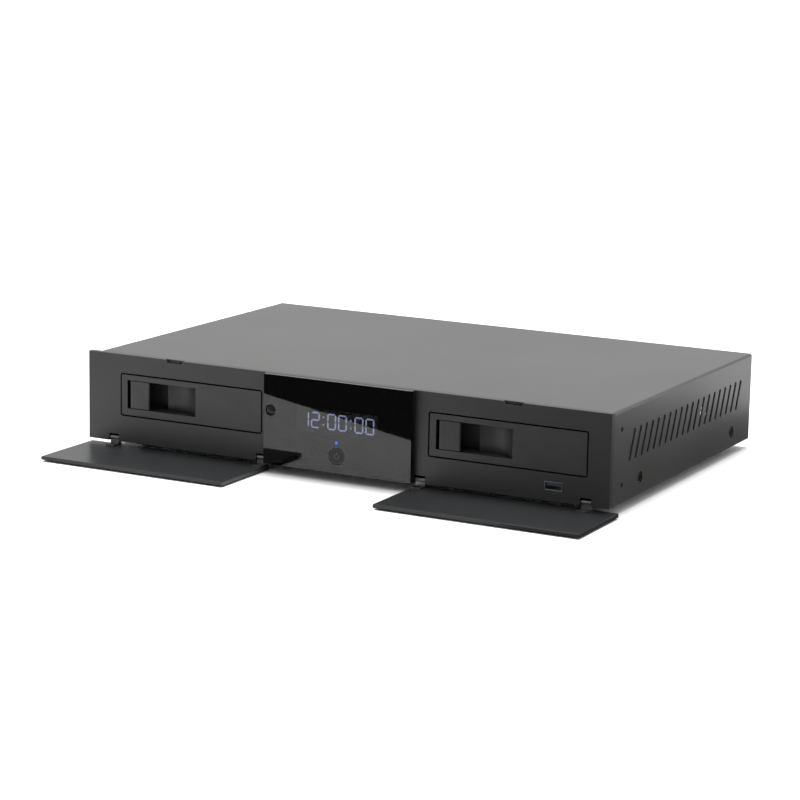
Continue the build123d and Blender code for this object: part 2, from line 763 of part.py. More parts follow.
for side, middle in trays.items():
    pocket_x = (middle + recess_start, middle + recess_end)
    scoop_x = pocket_x[1] - half_chord
    with BuildPart() as tray_face:
        with BuildSketch(front_plane(0)):
            with Locations((middle, tray_z)):
                RectangleRounded(face_width, face_height, window_radius - tray_gap)
        extrude(amount=-face_thickness)
        block(
            (pocket_x[0] - recess_wall, pocket_x[1] + recess_wall),
            (face_thickness, pocket_back),
            (recess_span_z[0] - recess_wall, recess_span_z[1] + recess_wall),
        )
        well_x = (pocket_x[0], scoop_x - half_chord + scoop_share * scoop_chord)
        block(well_x, (0, well_depth), recess_span_z, Mode.SUBTRACT)
        scoop_y = recess_depth - scoop_radius
        rod(scoop_radius, scoop_x, scoop_y, recess_span_z, "z", Mode.SUBTRACT)
        pin_z = (recess_span_z[0] - recess_wall, recess_span_z[1] + recess_wall)
        pin_x = middle + lever_axis
        fine_prism(lever_pin_radius, pin_x, lever_axis_depth, pin_z, "z", Mode.SUBTRACT)
    save(tray_face, f"{side}_tray_face")

    with BuildPart() as tray_lever:
        lever_z = (recess_span_z[0] + lever_play, recess_span_z[1] - lever_play)
        lever_x = (middle + lever_axis, middle + lever_start + lever_width)
        block(lever_x, (0, lever_thickness), lever_z)
        rod(lever_barrel_radius, middle + lever_axis, lever_axis_depth, lever_z, "z")
        tail_x = span_of(middle + lever_axis, lever_barrel_radius)
        tail_z = span_of(recess_z, recess_height / 2)
        block(tail_x, (lever_axis_depth, lever_axis_depth + lever_tail), tail_z)
        bore = lever_pin_radius + running_fit
        rod(bore, middle + lever_axis, lever_axis_depth, lever_z, "z", Mode.SUBTRACT)
        grip = tray_lever.faces().sort_by(Axis.X)[-1].edges().filter_by(Axis.Z)
        fillet(grip, lever_thickness / 3)
    save(tray_lever, f"{side}_tray_lever")

    with BuildPart() as lever_pin:
        fine_prism(lever_pin_radius, pin_x, lever_axis_depth, pin_z, "z")
    save(lever_pin, f"{side}_lever_pin")

    with BuildPart() as tray_carrier:
        floor_z = (tray_z - carrier_drop, tray_z - carrier_drop + carrier_floor)
        wall_z = (floor_z[0], floor_z[0] + carrier_side_height)
        carrier_x = span_of(middle, carrier_width)
        block(carrier_x, (face_thickness, carrier_back), floor_z)
        for way in (-1, 1):
            inner = middle + way * carrier_inner_width / 2
            wall_x = sorted((inner, inner + way * carrier_wall))
            block(wall_x, (pocket_back + sheet, carrier_back), wall_z)
            edge = middle + way * carrier_width / 2
            runner_x = sorted((edge, edge + way * runner_width))
            block(runner_x, (pocket_back + sheet, carrier_back), span_of(tray_z, runner_height))
        holes_y = drive_start + drive_length - drive_hole_back
        with Locations((middle, holes_y - drive_hole_along / 2, floor_z[0])):
            with GridLocations(drive_hole_across, drive_hole_along, 2, 2):
                Cylinder(drive_hole_radius, 4 * carrier_floor, mode=Mode.SUBTRACT)
        with BuildSketch(Plane.XY.offset(floor_z[0])):
            with Locations((middle, face_thickness + carrier_length / 2)):
                cut_pitch = floor_cut_pitch_share * carrier_length
                with GridLocations(0, cut_pitch, 1, 2):
                    Rectangle(floor_cut_share * drive_width, cut_pitch / 2)
        extrude(amount=carrier_floor, mode=Mode.SUBTRACT)
    save(tray_carrier, f"{side}_tray_carrier")

    with BuildPart() as tray_pads:
        for way in (-1, 1):
            drive_side = middle + way * drive_width / 2
            pad_x = sorted((drive_side + way * drive_side_gap, drive_side + way * drive_side_room))
            for share in pad_shares:
                pad_y = span_of(face_thickness + share * carrier_length, pad_length)
                block(pad_x, pad_y, (floor_z[1], wall_z[1]))
    save(tray_pads, f"{side}_tray_pads")

# ---------------------------------------------------------------------------
# Cages, with the board and the socket that a drive plugs into
# ---------------------------------------------------------------------------

leg_top = cage_bottom + cage_wall / 2
leg_bottom = floor_top + grommet_height
leg_places = [
    (across * cage_leg_share * cage_inner_width, y)
    for across in (-1, 1)
    for y in (plate_back + cage_leg_inset, cage_back - cage_leg_inset)
]

for side, middle in trays.items():
    with BuildPart() as drive_cage:
        outer = (cage_inner_width + 2 * cage_wall, cage_inner_height + 2 * cage_wall)
        with BuildSketch(front_plane(plate_back)):
            with Locations((middle, tray_z)):
                Rectangle(*outer)
                Rectangle(cage_inner_width, cage_inner_height, mode=Mode.SUBTRACT)
        extrude(amount=-cage_length)
        for way in (-1, 1):
            inner = middle + way * cage_inner_width / 2
            rail_x = sorted((inner, inner - way * rail_width))
            for up in (-1, 1):
                near = tray_z + up * (runner_height / 2 + rail_gap)
                rail_z = sorted((near, near + up * rail_height))
                block(rail_x, (plate_back, cage_back), rail_z)
            flange_start = middle + way * outer[0] / 2
            flange_x = sorted((flange_start, flange_start + way * cage_flange))
            flange_z = span_of(tray_z, cage_inner_height - 2 * cage_wall)
            block(flange_x, (plate_back, plate_back + cage_wall), flange_z)
            bore = screw_radius + screw_clearance
            bore_y = (plate_back, plate_back + cage_wall)
            for z in cage_screw_z:
                prism(bore, cage_flange_middle(middle, way), bore_y, z, "y", Mode.SUBTRACT)
        with BuildSketch(Plane.XY.offset(tray_z)):
            with Locations((middle, plate_back + cage_length / 2)):
                row_pitch = cage_length / (cage_window_rows + 1)
                with GridLocations(0, row_pitch, 1, cage_window_rows):
                    Rectangle(cage_window_share * cage_inner_width, row_pitch / 2)
        extrude(amount=cage_inner_height, mode=Mode.SUBTRACT)
        for x, y in leg_places:
            prism(cage_leg_radius, middle + x, y, (leg_bottom, leg_top), "z")
    save(drive_cage, f"{side}_drive_cage")

    with BuildPart() as drive_board:
        block(
            span_of(middle, cage_inner_width),
            (cage_back, cage_back + board_thickness),
            span_of(tray_z, cage_inner_height + cage_wall),
        )
    save(drive_board, f"{side}_drive_board")

with BuildPart() as cage_screws:
    for middle in trays.values():
        for across in (-1, 1):
            x = cage_flange_middle(middle, across)
            for z in cage_screw_z:
                screw(plate_back + cage_wall, plate_back - screw_grip + slip, x, z)
save(cage_screws, "cage_screws")

with BuildPart() as cage_grommets:
    for middle in trays.values():
        for x, y in leg_places:
            prism(grommet_radius, middle + x, y, (floor_top, leg_bottom), "z")
save(cage_grommets, "cage_grommets")

with BuildPart() as drive_sockets:
    for middle in trays.values():
        socket_z = floor_z[1] + plug_rise
        plug_x = middle + plug_shift
        plug_y = (cage_back - plug_size[1], cage_back)
        block(span_of(plug_x, plug_size[0]), plug_y, (socket_z, socket_z + plug_size[2]))
        slot_x = span_of(plug_x, plug_size[0] - 2 * plug_slot_margin)
        slot_z = span_of(socket_z + plug_size[2] / 2, plug_slot_height)
        slot_y = (cage_back - plug_size[1], cage_back - plug_size[1] / 2)
        block(slot_x, slot_y, slot_z, Mode.SUBTRACT)
save(drive_sockets, "drive_sockets")

# ---------------------------------------------------------------------------
# Front socket for a memory stick
# ---------------------------------------------------------------------------

with BuildPart() as front_usb_socket:
    shell_x = span_of(usb_x, usb_opening[0] + 2 * usb_shell)
    shell_z = span_of(usb_middle_z, usb_opening[1] + 2 * usb_shell)
    block(shell_x, (0, usb_depth), shell_z)
    hollow_x = span_of(usb_x, usb_opening[0])
    hollow_z = span_of(usb_middle_z, usb_opening[1])
    block(hollow_x, (0, usb_depth - 3 * usb_shell), hollow_z, Mode.SUBTRACT)
save(front_usb_socket, "front_usb_socket")

with BuildPart() as usb_board:
    usb_board_x = span_of(usb_x, usb_board_size[0])
    usb_board_y = (plate_back + slip, plate_back + slip + usb_board_size[1])
    block(usb_board_x, usb_board_y, (usb_low - board_thickness, usb_low))
save(usb_board, "usb_board")

# ---------------------------------------------------------------------------
# Boards at the back
# ---------------------------------------------------------------------------

rear_board_y = (rear_board_front, rear_board_back)

with BuildPart() as board_standoffs:
    for low, high in (main_board_span, supply_board_span):
        for x in (low + board_inset, high - board_inset):
            for y in (rear_board_front + board_inset, rear_board_back - 2 * board_inset):
                prism(standoff_radius, x, y, (floor_top, board_bottom), "z")
    usb_leg_y = usb_board_y[1] - board_inset
    prism(standoff_radius, usb_x, usb_leg_y, (floor_top, usb_low - board_thickness), "z")
save(board_standoffs, "board_standoffs")

with BuildPart() as main_board:
    block(main_board_span, rear_board_y, (board_bottom, board_top))
save(main_board, "main_board")

with BuildPart() as heat_sink:
    sink_x = span_of(sum(main_board_span) / 2 + sink_shift, sink_size[0])
    sink_y = (rear_board_front + sink_inset, rear_board_front + sink_inset + sink_size[1])
    block(sink_x, sink_y, (board_top, board_top + sink_foot))
    fin_pitch = (sink_size[0] - sink_fin_thickness) / (sink_fins - 1)
    for number in range(sink_fins):
        fin_x = sink_x[0] + number * fin_pitch
        fin_z = (board_top + sink_foot, board_top + sink_size[2])
        block((fin_x, fin_x + sink_fin_thickness), sink_y, fin_z)
save(heat_sink, "heat_sink")

with BuildPart() as supply_board:
    block(supply_board_span, rear_board_y, (board_bottom, board_top))
save(supply_board, "supply_board")

supply_middle = sum(supply_board_span) / 2
with BuildPart() as transformer:
    block(
        span_of(supply_middle, transformer_size[0]),
        (rear_board_front + board_inset, rear_board_front + board_inset + transformer_size[1]),
        (board_top, board_top + transformer_size[2]),
    )
    chamfer(transformer.edges().filter_by(Axis.Z), transformer_corner)
save(transformer, "transformer")

with BuildPart() as capacitors:
    for number in range(capacitor_count):
        cap_x = supply_board_span[1] - board_inset - capacitor_radius
        cap_start = rear_board_front + 2 * board_inset + capacitor_radius
        cap_y = cap_start + number * capacitor_pitch
        cap_z = (board_top, board_top + capacitor_height)
        fine_prism(capacitor_radius, cap_x, cap_y, cap_z, "z")
save(capacitors, "capacitors")

# ---------------------------------------------------------------------------
# Sockets on the back panel
# ---------------------------------------------------------------------------


def boxed_socket(x_middle, size, holes, depth, reach):
    """A socket body on the main board with hollows that open at the back.

    Each hollow is (width, height, rise of its middle above the board).
    """
    body_y = (panel_front + sheet - depth, panel_front + sheet + reach)
    block(span_of(x_middle, size[0]), body_y, (board_top, board_top + size[1]))
    for width, height, rise in holes:
        hollow_y = (body_y[1] - depth * socket_hollow_share, body_y[1])
        hollow_z = span_of(board_top + rise, height)
        block(span_of(x_middle, width), hollow_y, hollow_z, Mode.SUBTRACT)


def jack_row(x_middles, radius, rise):
    """Round jacks that stand out of the back panel."""
    for x in x_middles:
        z = board_top + rise
        body_x = span_of(x, 2 * (radius + jack_body_wall))
        body_y = (panel_front - jack_body_depth, panel_front - slip)
        block(body_x, body_y, (board_top, z + radius))
        rod(radius, x, (panel_front - slip, case_back + jack_reach), z, "y")


def along_board(share):
    """The place of a share of the main board's width, from its left edge."""
    return main_board_span[0] + share * (main_board_span[1] - main_board_span[0])


hdmi_middle = along_board(hdmi_share)
network_middle = along_board(network_share)
usb_pair_middle = along_board(usb_pair_share)
optical_middle = along_board(optical_share)
audio_middles = [along_board(share) for share in audio_shares]
video_middles = [along_board(share) for share in video_shares]
inlet_middle = (inlet_inset - plate_edge, inlet_rise)
rocker_middle = (rocker_inset - plate_edge, rocker_rise)

with BuildPart() as hdmi_socket:
    boxed_socket(hdmi_middle, hdmi_size, (hdmi_hollow,), socket_depth, socket_reach)
save(hdmi_socket, "hdmi_socket")

with BuildPart() as network_socket:
    boxed_socket(network_middle, network_size, (network_hollow,), socket_depth, socket_reach)
save(network_socket, "network_socket")

with BuildPart() as rear_usb_socket:
    boxed_socket(usb_pair_middle, usb_pair_size, usb_pair_hollows, socket_depth, socket_reach)
save(rear_usb_socket, "rear_usb_socket")

with BuildPart() as optical_socket:
    boxed_socket(optical_middle, optical_size, (optical_hollow,), socket_depth, socket_reach)
save(optical_socket, "optical_socket")

with BuildPart() as audio_jacks:
    jack_row(audio_middles, jack_radius, jack_rise)
save(audio_jacks, "audio_jacks")

with BuildPart() as video_jacks:
    jack_row(video_middles, jack_radius, jack_rise)
save(video_jacks, "video_jacks")

inlet_z = plate_bottom + inlet_middle[1]
inlet_outer = case_back + inlet_flange_thickness
with BuildPart() as mains_inlet:
    inlet_y = (case_back - inlet_length, case_back)
    block(span_of(inlet_middle[0], inlet_body[0]), inlet_y, span_of(inlet_z, inlet_body[1]))
    inlet_lip = (case_back, inlet_outer)
    block(span_of(inlet_middle[0], inlet_flange[0]), inlet_lip, span_of(inlet_z, inlet_flange[1]))
    hollow_y = (inlet_outer - inlet_cavity_depth, inlet_outer)
    inlet_hollow_x = span_of(inlet_middle[0], inlet_cavity[0])
    block(inlet_hollow_x, hollow_y, span_of(inlet_z, inlet_cavity[1]), Mode.SUBTRACT)
save(mains_inlet, "mains_inlet")

with BuildPart() as inlet_pins:
    pin_y = (hollow_y[0], inlet_outer - inlet_cavity_depth / 3)
    for across, up in ((-1, 1), (1, 1), (0, -1)):
        pin_x = inlet_middle[0] + across * inlet_pin_pitch / 2
        pin_middle_z = inlet_z + up * inlet_pin_rise
        block(span_of(pin_x, inlet_pin[0]), pin_y, span_of(pin_middle_z, inlet_pin[1]))
save(inlet_pins, "inlet_pins")

rocker_z = plate_bottom + rocker_middle[1]
rocker_outer = case_back + rocker_flange_thickness
rocker_axis_y = case_back - rocker_axis_inset
with BuildPart() as switch_housing:
    body_y = (case_back - rocker_length, case_back)
    block(span_of(rocker_middle[0], rocker_body[0]), body_y, span_of(rocker_z, rocker_body[1]))
    lip_y = (case_back, rocker_outer)
    block(span_of(rocker_middle[0], rocker_flange[0]), lip_y, span_of(rocker_z, rocker_flange[1]))
    hollow_y = (case_back - rocker_length + rocker_floor, rocker_outer)
    rocker_hollow_x = span_of(rocker_middle[0], rocker_cavity[0])
    block(rocker_hollow_x, hollow_y, span_of(rocker_z, rocker_cavity[1]), Mode.SUBTRACT)
    trunnion_bore = rocker_trunnion + running_fit
    trunnion_z = span_of(rocker_z, rocker_body[1])
    rod(trunnion_bore, rocker_middle[0], rocker_axis_y, trunnion_z, "z", Mode.SUBTRACT)
save(switch_housing, "switch_housing")

with BuildPart() as power_rocker:
    half_rocker = rocker_cavity[0] / 2 - rocker_play
    rocker_height = rocker_cavity[1] - 2 * rocker_play
    crest = rocker_outer + rocker_crest - rocker_axis_y
    half_under = rocker_taper_share * half_rocker
    slope = half_rocker * tan(radians(rocker_tilt))
    rocker_frame = Plane(
        origin=(rocker_middle[0], rocker_axis_y, rocker_z - rocker_height / 2),
        x_dir=(cos(radians(rocker_tilt)), sin(radians(rocker_tilt)), 0),
        z_dir=(0, 0, 1),
    )
    with BuildSketch(rocker_frame):
        Polygon(
            (-half_rocker, crest + slope / 2),
            (0, crest - slope / 2),
            (half_rocker, crest + slope / 2),
            (half_under, -rocker_drop),
            (-half_under, -rocker_drop),
            align=None,
        )
    extrude(amount=rocker_height)
    pin_z = span_of(rocker_z, rocker_body[1])
    rod(rocker_trunnion, rocker_middle[0], rocker_axis_y, pin_z, "z")
save(power_rocker, "power_rocker")

# ---------------------------------------------------------------------------
# Fan
# ---------------------------------------------------------------------------

fan_x = plate_edge - fan_inset
fan_z = plate_bottom + fan_rise
fan_front = panel_front - fan_depth
rotor_back = panel_front - fan_hub_gap
rotor_front = fan_front + fan_strut + fan_hub_gap
axle_end = rotor_back - fan_axle_cap
fan_holes = [
    (fan_x + across * fan_hole_pitch / 2, fan_z + up * fan_hole_pitch / 2)
    for across in (-1, 1)
    for up in (-1, 1)
]

with BuildPart() as fan_frame:
    block(span_of(fan_x, fan_size), (fan_front, panel_front), span_of(fan_z, fan_size))
    rod(fan_bore_radius, fan_x, (fan_front, panel_front), fan_z, "y", Mode.SUBTRACT)
    strut_y = (fan_front, fan_front + fan_strut)
    strut_length = 2 * (fan_bore_radius + fan_strut_bite)
    rod(fan_hub_radius, fan_x, strut_y, fan_z, "y")
    block(span_of(fan_x, strut_length), strut_y, span_of(fan_z, fan_strut))
    block(span_of(fan_x, fan_strut), strut_y, span_of(fan_z, strut_length))
    rod(fan_axle_radius, fan_x, (fan_front, axle_end), fan_z, "y")
    for x, z in fan_holes:
        prism(fan_hole_radius, x, (fan_front, panel_front), z, "y", Mode.SUBTRACT)
save(fan_frame, "fan_frame")

with BuildPart() as fan_rotor:
    rod(fan_hub_radius, fan_x, (rotor_front, rotor_back), fan_z, "y")
    blade_reach = fan_bore_radius - fan_tip_gap - fan_hub_radius
    blade_chord = (rotor_back - rotor_front - fan_blade_thickness) / cos(radians(fan_blade_lean))
    for number in range(fan_blades):
        turn = 360 * number / fan_blades
        spoke = Plane(
            origin=(fan_x, (rotor_front + rotor_back) / 2, fan_z),
            x_dir=(0, 1, 0),
            z_dir=(cos(radians(turn)), 0, sin(radians(turn))),
        )
        with BuildSketch(spoke.offset(fan_hub_radius - fan_blade_root)):
            Rectangle(blade_chord, fan_blade_thickness, rotation=fan_blade_lean)
        extrude(amount=blade_reach)
    axle_bore_y = (rotor_front, axle_end + running_fit)
    rod(fan_axle_radius + running_fit, fan_x, axle_bore_y, fan_z, "y", Mode.SUBTRACT)
save(fan_rotor, "fan_rotor")

with BuildPart() as fan_screws:
    for x, z in fan_holes:
        screw(case_back, panel_front - fan_depth / 2, x, z)
save(fan_screws, "fan_screws")

# ---------------------------------------------------------------------------
# Back panel, cut for everything that passes through it
# ---------------------------------------------------------------------------

with BuildPart() as rear_panel:
    panel_y = (panel_front, case_back)
    block((base_left, base_right), panel_y, (floor_top, roof - slip))
    for x_middle, size in (
        (hdmi_middle, hdmi_size),
        (network_middle, network_size),
        (usb_pair_middle, usb_pair_size),
        (optical_middle, optical_size),
    ):
        cut_z = (board_top - seam, board_top + size[1] + seam)
        block(span_of(x_middle, size[0] + 2 * seam), panel_y, cut_z, Mode.SUBTRACT)
    for x in audio_middles + video_middles:
        fine_prism(jack_radius + seam, x, panel_y, board_top + jack_rise, "y", Mode.SUBTRACT)
    for middle, body in ((inlet_middle, inlet_body), (rocker_middle, rocker_body)):
        cut_x = span_of(middle[0], body[0] + 2 * slip)
        cut_z = span_of(plate_bottom + middle[1], body[1] + 2 * slip)
        block(cut_x, panel_y, cut_z, Mode.SUBTRACT)
    for x, z in fan_holes:
        prism(screw_radius + screw_clearance, x, panel_y, z, "y", Mode.SUBTRACT)
    for radius in grille_rings:
        with BuildSketch(front_plane(panel_front)):
            with Locations((fan_x, fan_z)):
                Circle(radius + grille_slot / 2)
                Circle(radius - grille_slot / 2, mode=Mode.SUBTRACT)
                for turn in grille_ribs:
                    Rectangle(2 * fan_size, 2 * grille_slot, rotation=turn, mode=Mode.SUBTRACT)
        extrude(amount=-sheet, mode=Mode.SUBTRACT)
save(rear_panel, "rear_panel")
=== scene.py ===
# %% [markdown]
# # A media player with two drive trays
# The imported CAD model is the fixed frame: its pieces are already in place, in
# metres. This lesson lights it like a catalogue photograph, gives every piece a
# finish made from nodes, and adds the small things that are not in the CAD, such
# as screw recesses, contacts and the chips on the boards. The frame is loaded
# first.

# %% Load the frame
import json
from math import radians

import bmesh
import bpy
from mathutils import Matrix, Vector

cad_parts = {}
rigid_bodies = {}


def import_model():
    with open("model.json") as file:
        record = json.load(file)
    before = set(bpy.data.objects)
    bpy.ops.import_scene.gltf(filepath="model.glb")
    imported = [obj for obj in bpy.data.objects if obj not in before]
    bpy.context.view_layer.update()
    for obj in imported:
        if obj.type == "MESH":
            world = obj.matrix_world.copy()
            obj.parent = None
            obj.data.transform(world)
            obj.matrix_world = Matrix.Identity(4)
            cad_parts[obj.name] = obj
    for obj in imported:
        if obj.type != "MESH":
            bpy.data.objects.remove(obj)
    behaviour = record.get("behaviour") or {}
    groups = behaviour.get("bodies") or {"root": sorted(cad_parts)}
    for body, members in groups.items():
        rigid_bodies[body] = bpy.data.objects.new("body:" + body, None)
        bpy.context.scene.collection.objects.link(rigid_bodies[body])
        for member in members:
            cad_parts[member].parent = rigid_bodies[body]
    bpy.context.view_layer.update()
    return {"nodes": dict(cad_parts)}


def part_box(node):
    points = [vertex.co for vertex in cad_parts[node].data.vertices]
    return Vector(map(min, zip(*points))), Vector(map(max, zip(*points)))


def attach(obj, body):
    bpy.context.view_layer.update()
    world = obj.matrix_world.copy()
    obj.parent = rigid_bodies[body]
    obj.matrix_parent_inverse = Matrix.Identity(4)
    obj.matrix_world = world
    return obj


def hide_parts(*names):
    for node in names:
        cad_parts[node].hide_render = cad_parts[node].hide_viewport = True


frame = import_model()
nodes = frame["nodes"]
scene = bpy.context.scene
MM = 0.001


# %% [markdown]
# ## The camera
# The camera was found by fitting a pinhole camera to the corners of the case in
# the photograph. It stands far off to the front right, a little above the case,
# behind a long lens. The object sits left of the picture's middle, and a small
# lens shift does that without turning the camera.

# %% Camera
camera_place = Vector((0.89015, -1.70820, 0.43300))
camera_right = Vector((0.89076, 0.45393, 0.02220))
camera_up = Vector((-0.11014, 0.16822, 0.97958))
camera_back = Vector((0.44093, -0.87501, 0.19984))
picture_width = 800.0
shift_pixels = (-45.0, 2.5)

lens_data = bpy.data.cameras.new("long_lens")
lens_data.lens = 116.775
lens_data.sensor_width = 36.0
lens_data.shift_x = shift_pixels[0] / picture_width
lens_data.shift_y = shift_pixels[1] / picture_width
camera = bpy.data.objects.new("camera", lens_data)
turn = Matrix((camera_right, camera_up, camera_back)).transposed()
camera.matrix_world = Matrix.Translation(camera_place) @ turn.to_4x4()
scene.collection.objects.link(camera)
scene.camera = camera
scene.view_settings.view_transform = "Standard"
print("camera", round(camera_place.length, 2), "m from the object's middle")

# %% [markdown]
# ## Node graphs as Python sums
# Materials and Geometry Nodes are both graphs of nodes. Placing every Math node
# by hand hides the idea behind the finish, so one small class wraps an output
# and turns Python's operators into nodes. Everything else is made by one method
# that takes the kind of node, its settings and what its sockets get.

# %% A graph and its values


class Value:
    """One output of a node, ready for sums in Python, on either side of the operator."""

    def __init__(self, graph, socket):
        self.graph = graph
        self.socket = socket

    def __getitem__(self, name):
        return Value(self.graph, self.socket.node.outputs[name])

    def __add__(self, other):
        return self.graph.sum("ADD", self, other)

    def __radd__(self, other):
        return self.graph.sum("ADD", other, self)

    def __sub__(self, other):
        return self.graph.sum("SUBTRACT", self, other)

    def __rsub__(self, other):
        return self.graph.sum("SUBTRACT", other, self)

    def __mul__(self, other):
        return self.graph.sum("MULTIPLY", self, other)

    def __rmul__(self, other):
        return self.graph.sum("MULTIPLY", other, self)

    def __truediv__(self, other):
        return self.graph.sum("DIVIDE", self, other)

    def __rtruediv__(self, other):
        return self.graph.sum("DIVIDE", other, self)

    def __gt__(self, other):
        return self.graph.sum("GREATER_THAN", self, other)

    def __lt__(self, other):
        return self.graph.sum("LESS_THAN", self, other)


class Graph:
    """A node tree, and the one method that adds nodes to it."""

    def __init__(self, tree):
        self.tree = tree

    def add(self, kind, settings=None, sockets=None):
        node = self.tree.nodes.new(kind)
        for name, value in (settings or {}).items():
            setattr(node, name, value)
        for name, value in (sockets or {}).items():
            self.give(self.input_of(node, name), value)
        return Value(self, next(s for s in node.outputs if s.enabled))

    def input_of(self, node, name):
        if isinstance(name, int):
            return node.inputs[name]
        return next(s for s in node.inputs if s.name == name and s.enabled)

    def give(self, socket, value):
        if isinstance(value, Value):
            self.tree.links.new(value.socket, socket)
        elif socket.type == "RGBA":
            socket.default_value = (*value, 1)
        else:
            socket.default_value = value

    def sum(self, operation, first, second):
        return self.add("ShaderNodeMath", {"operation": operation}, {0: first, 1: second})

    def dot(self, first, second):
        """How far two directions agree: 1 the same way, 0 square to each other."""
        product = self.add("ShaderNodeVectorMath", {"operation": "DOT_PRODUCT"}, {0: first, 1: second})
        return product["Value"]

    def remap(self, value, low, high, to_low, to_high):
        """Stretch a value from one range to another, and hold it at the ends."""
        sockets = {"Value": value, "From Min": low, "From Max": high}
        return self.add("ShaderNodeMapRange", {}, {**sockets, "To Min": to_low, "To Max": to_high})


print("graph helpers ready")

# %% [markdown]
# ## What all finishes share
# A painted sheet is never one flat colour. Its paint has a fine grain that breaks
# the reflection, its gloss changes slowly over a hand's width, and its edges are
# a little rounded and rubbed. There they are made lighter, partly as rubbed paint
# and partly as a painted edge highlight. A finish here starts from a Principled
# shader and offers these as building blocks: grain at any scale, a blend between
# two colours, a mask that finds the edges, and one that finds the crevices. Under
# a bright sky, gaps and slots in dark paint come out too pale. So the last one
# paints shade: it mixes in a black shader where little light gets in.

# %% The finish helper


class Finish(Graph):
    """A material whose patterns follow the object's own coordinates."""

    def __init__(self, name):
        self.material = bpy.data.materials.new(name)
        self.material.use_nodes = True
        super().__init__(self.material.node_tree)
        self.shader = self.tree.nodes["Principled BSDF"]
        self.place = self.add("ShaderNodeTexCoord")["Object"]

    def set(self, **values):
        for name, value in values.items():
            self.give(self.shader.inputs[name.replace("_", " ")], value)

    def stretched(self, x, y, z):
        """The place on the piece, stretched so that a pattern runs along one axis."""
        settings = {"vector_type": "POINT"}
        return self.add("ShaderNodeMapping", settings, {"Vector": self.place, "Scale": (x, y, z)})

    def grain(self, scale, detail=2.0, rough=0.5, place=None):
        sockets = {"Vector": place or self.place, "Scale": scale}
        return self.add("ShaderNodeTexNoise", {}, {**sockets, "Detail": detail, "Roughness": rough})

    def spread(self, grain, to_low, to_high):
        """Grain keeps mostly between 0.3 and 0.7, and this fills a range with it."""
        return self.remap(grain, 0.3, 0.7, to_low, to_high)

    def blend(self, factor, first, second):
        settings = {"data_type": "RGBA"}
        return self.add("ShaderNodeMix", settings, {"Factor": factor, "A": first, "B": second})

    def edges(self, radius):
        """Nearly 1 on edges sharper than the radius, 0 on flat faces, and the rounded normal."""
        rounded = self.add("ShaderNodeBevel", {"samples": 4}, {"Radius": radius})
        agree = self.dot(rounded, self.add("ShaderNodeNewGeometry")["Normal"])
        return self.remap(agree, 0.995, 0.8, 0.0, 1.0), rounded

    def painted_crevice_shade(self, reach, open_from=0.55, shut_from=0.2):
        """Painted shade: black where little light can get in, in gaps, slots and deep corners."""
        light = self.add("ShaderNodeAmbientOcclusion", {"samples": 6}, {"Distance": reach})["AO"]
        black = self.add("ShaderNodeBsdfDiffuse", {}, {"Color": (0.0, 0.0, 0.0)})
        shut = self.remap(light, shut_from, open_from, 1.0, 0.0)
        lit = Value(self, self.shader.outputs[0])
        mixed = self.add("ShaderNodeMixShader", {}, {0: shut, 1: lit, 2: black})
        self.give(self.tree.nodes["Material Output"].inputs["Surface"], mixed)

    def bump(self, height, strength, depth, rounded=None):
        sockets = {"Height": height, "Strength": strength, "Distance": depth}
        if rounded:
            sockets["Normal"] = rounded
        self.set(Normal=self.add("ShaderNodeBump", {}, sockets))


def paint(piece_names, finish):
    """Give a finish to all the slots of some CAD pieces."""
    for name in piece_names:
        for slot in nodes[name].material_slots:
            slot.material = finish.material
    print(finish.material.name, "on", ", ".join(piece_names))


# %% [markdown]
# ## Powder-coated steel and the front plate
# The case is folded sheet steel with a satin powder coat: dark, slightly warm,
# with an orange-peel bump finer than a millimetre. Seen along the top it turns
# light grey, because paint mirrors more at a grazing angle, and the shader works
# that out by itself. The thick front plate has a finer sprayed finish. That of the
# doors is finer still, and it mirrors less.

# %% Painted sheet and plate


def sprayed_metal(name, dark, light, gloss, peel, rub_and_highlight):
    """A sprayed coat: two close tones, a gloss range, the peel's scale, and edges lightened by rubbing
    and a painted highlight.
    """
    finish = Finish(name)
    cloud = finish.grain(9.0, 2.0)
    speck = finish.grain(peel, 3.0, 0.65)
    edge, rounded = finish.edges(0.5 * MM)
    speck_tone = [1.6 * c for c in light]
    rubbed_and_highlight_tone = [3.2 * c for c in light]
    tone = finish.blend(finish.remap(cloud, 0.35, 0.65, 0.0, 1.0), dark, light)
    tone = finish.blend(finish.remap(speck, 0.55, 0.8, 0.0, 0.5), tone, speck_tone)
    # Edges are lighter: partly rubbed paint, partly a painted edge highlight.
    finish.set(Base_Color=finish.blend(edge * rub_and_highlight, tone, rubbed_and_highlight_tone))
    finish.set(Roughness=finish.remap(cloud + 0.5 * speck, 0.55, 0.95, *gloss) - 0.06 * edge)
    finish.bump(speck, 0.22, 0.05 * MM, rounded)
    return finish


case_tones = (0.032, 0.032, 0.031), (0.036, 0.036, 0.035)
plate_tones = (0.018, 0.018, 0.019), (0.021, 0.021, 0.022)
door_tones = (0.018, 0.019, 0.020), (0.022, 0.023, 0.024)
# The last number sets how much lighter the edges are, as rubbed paint and painted highlight.
case_paint = sprayed_metal("case_paint", *case_tones, gloss=(0.35, 0.39), peel=2600.0, rub_and_highlight=0.25)
plate_paint = sprayed_metal("plate_paint", *plate_tones, gloss=(0.38, 0.44), peel=4200.0, rub_and_highlight=0.30)
door_paint = sprayed_metal("door_paint", *door_tones, gloss=(0.32, 0.38), peel=5200.0, rub_and_highlight=0.45)
door_paint.set(Specular_IOR_Level=0.3)
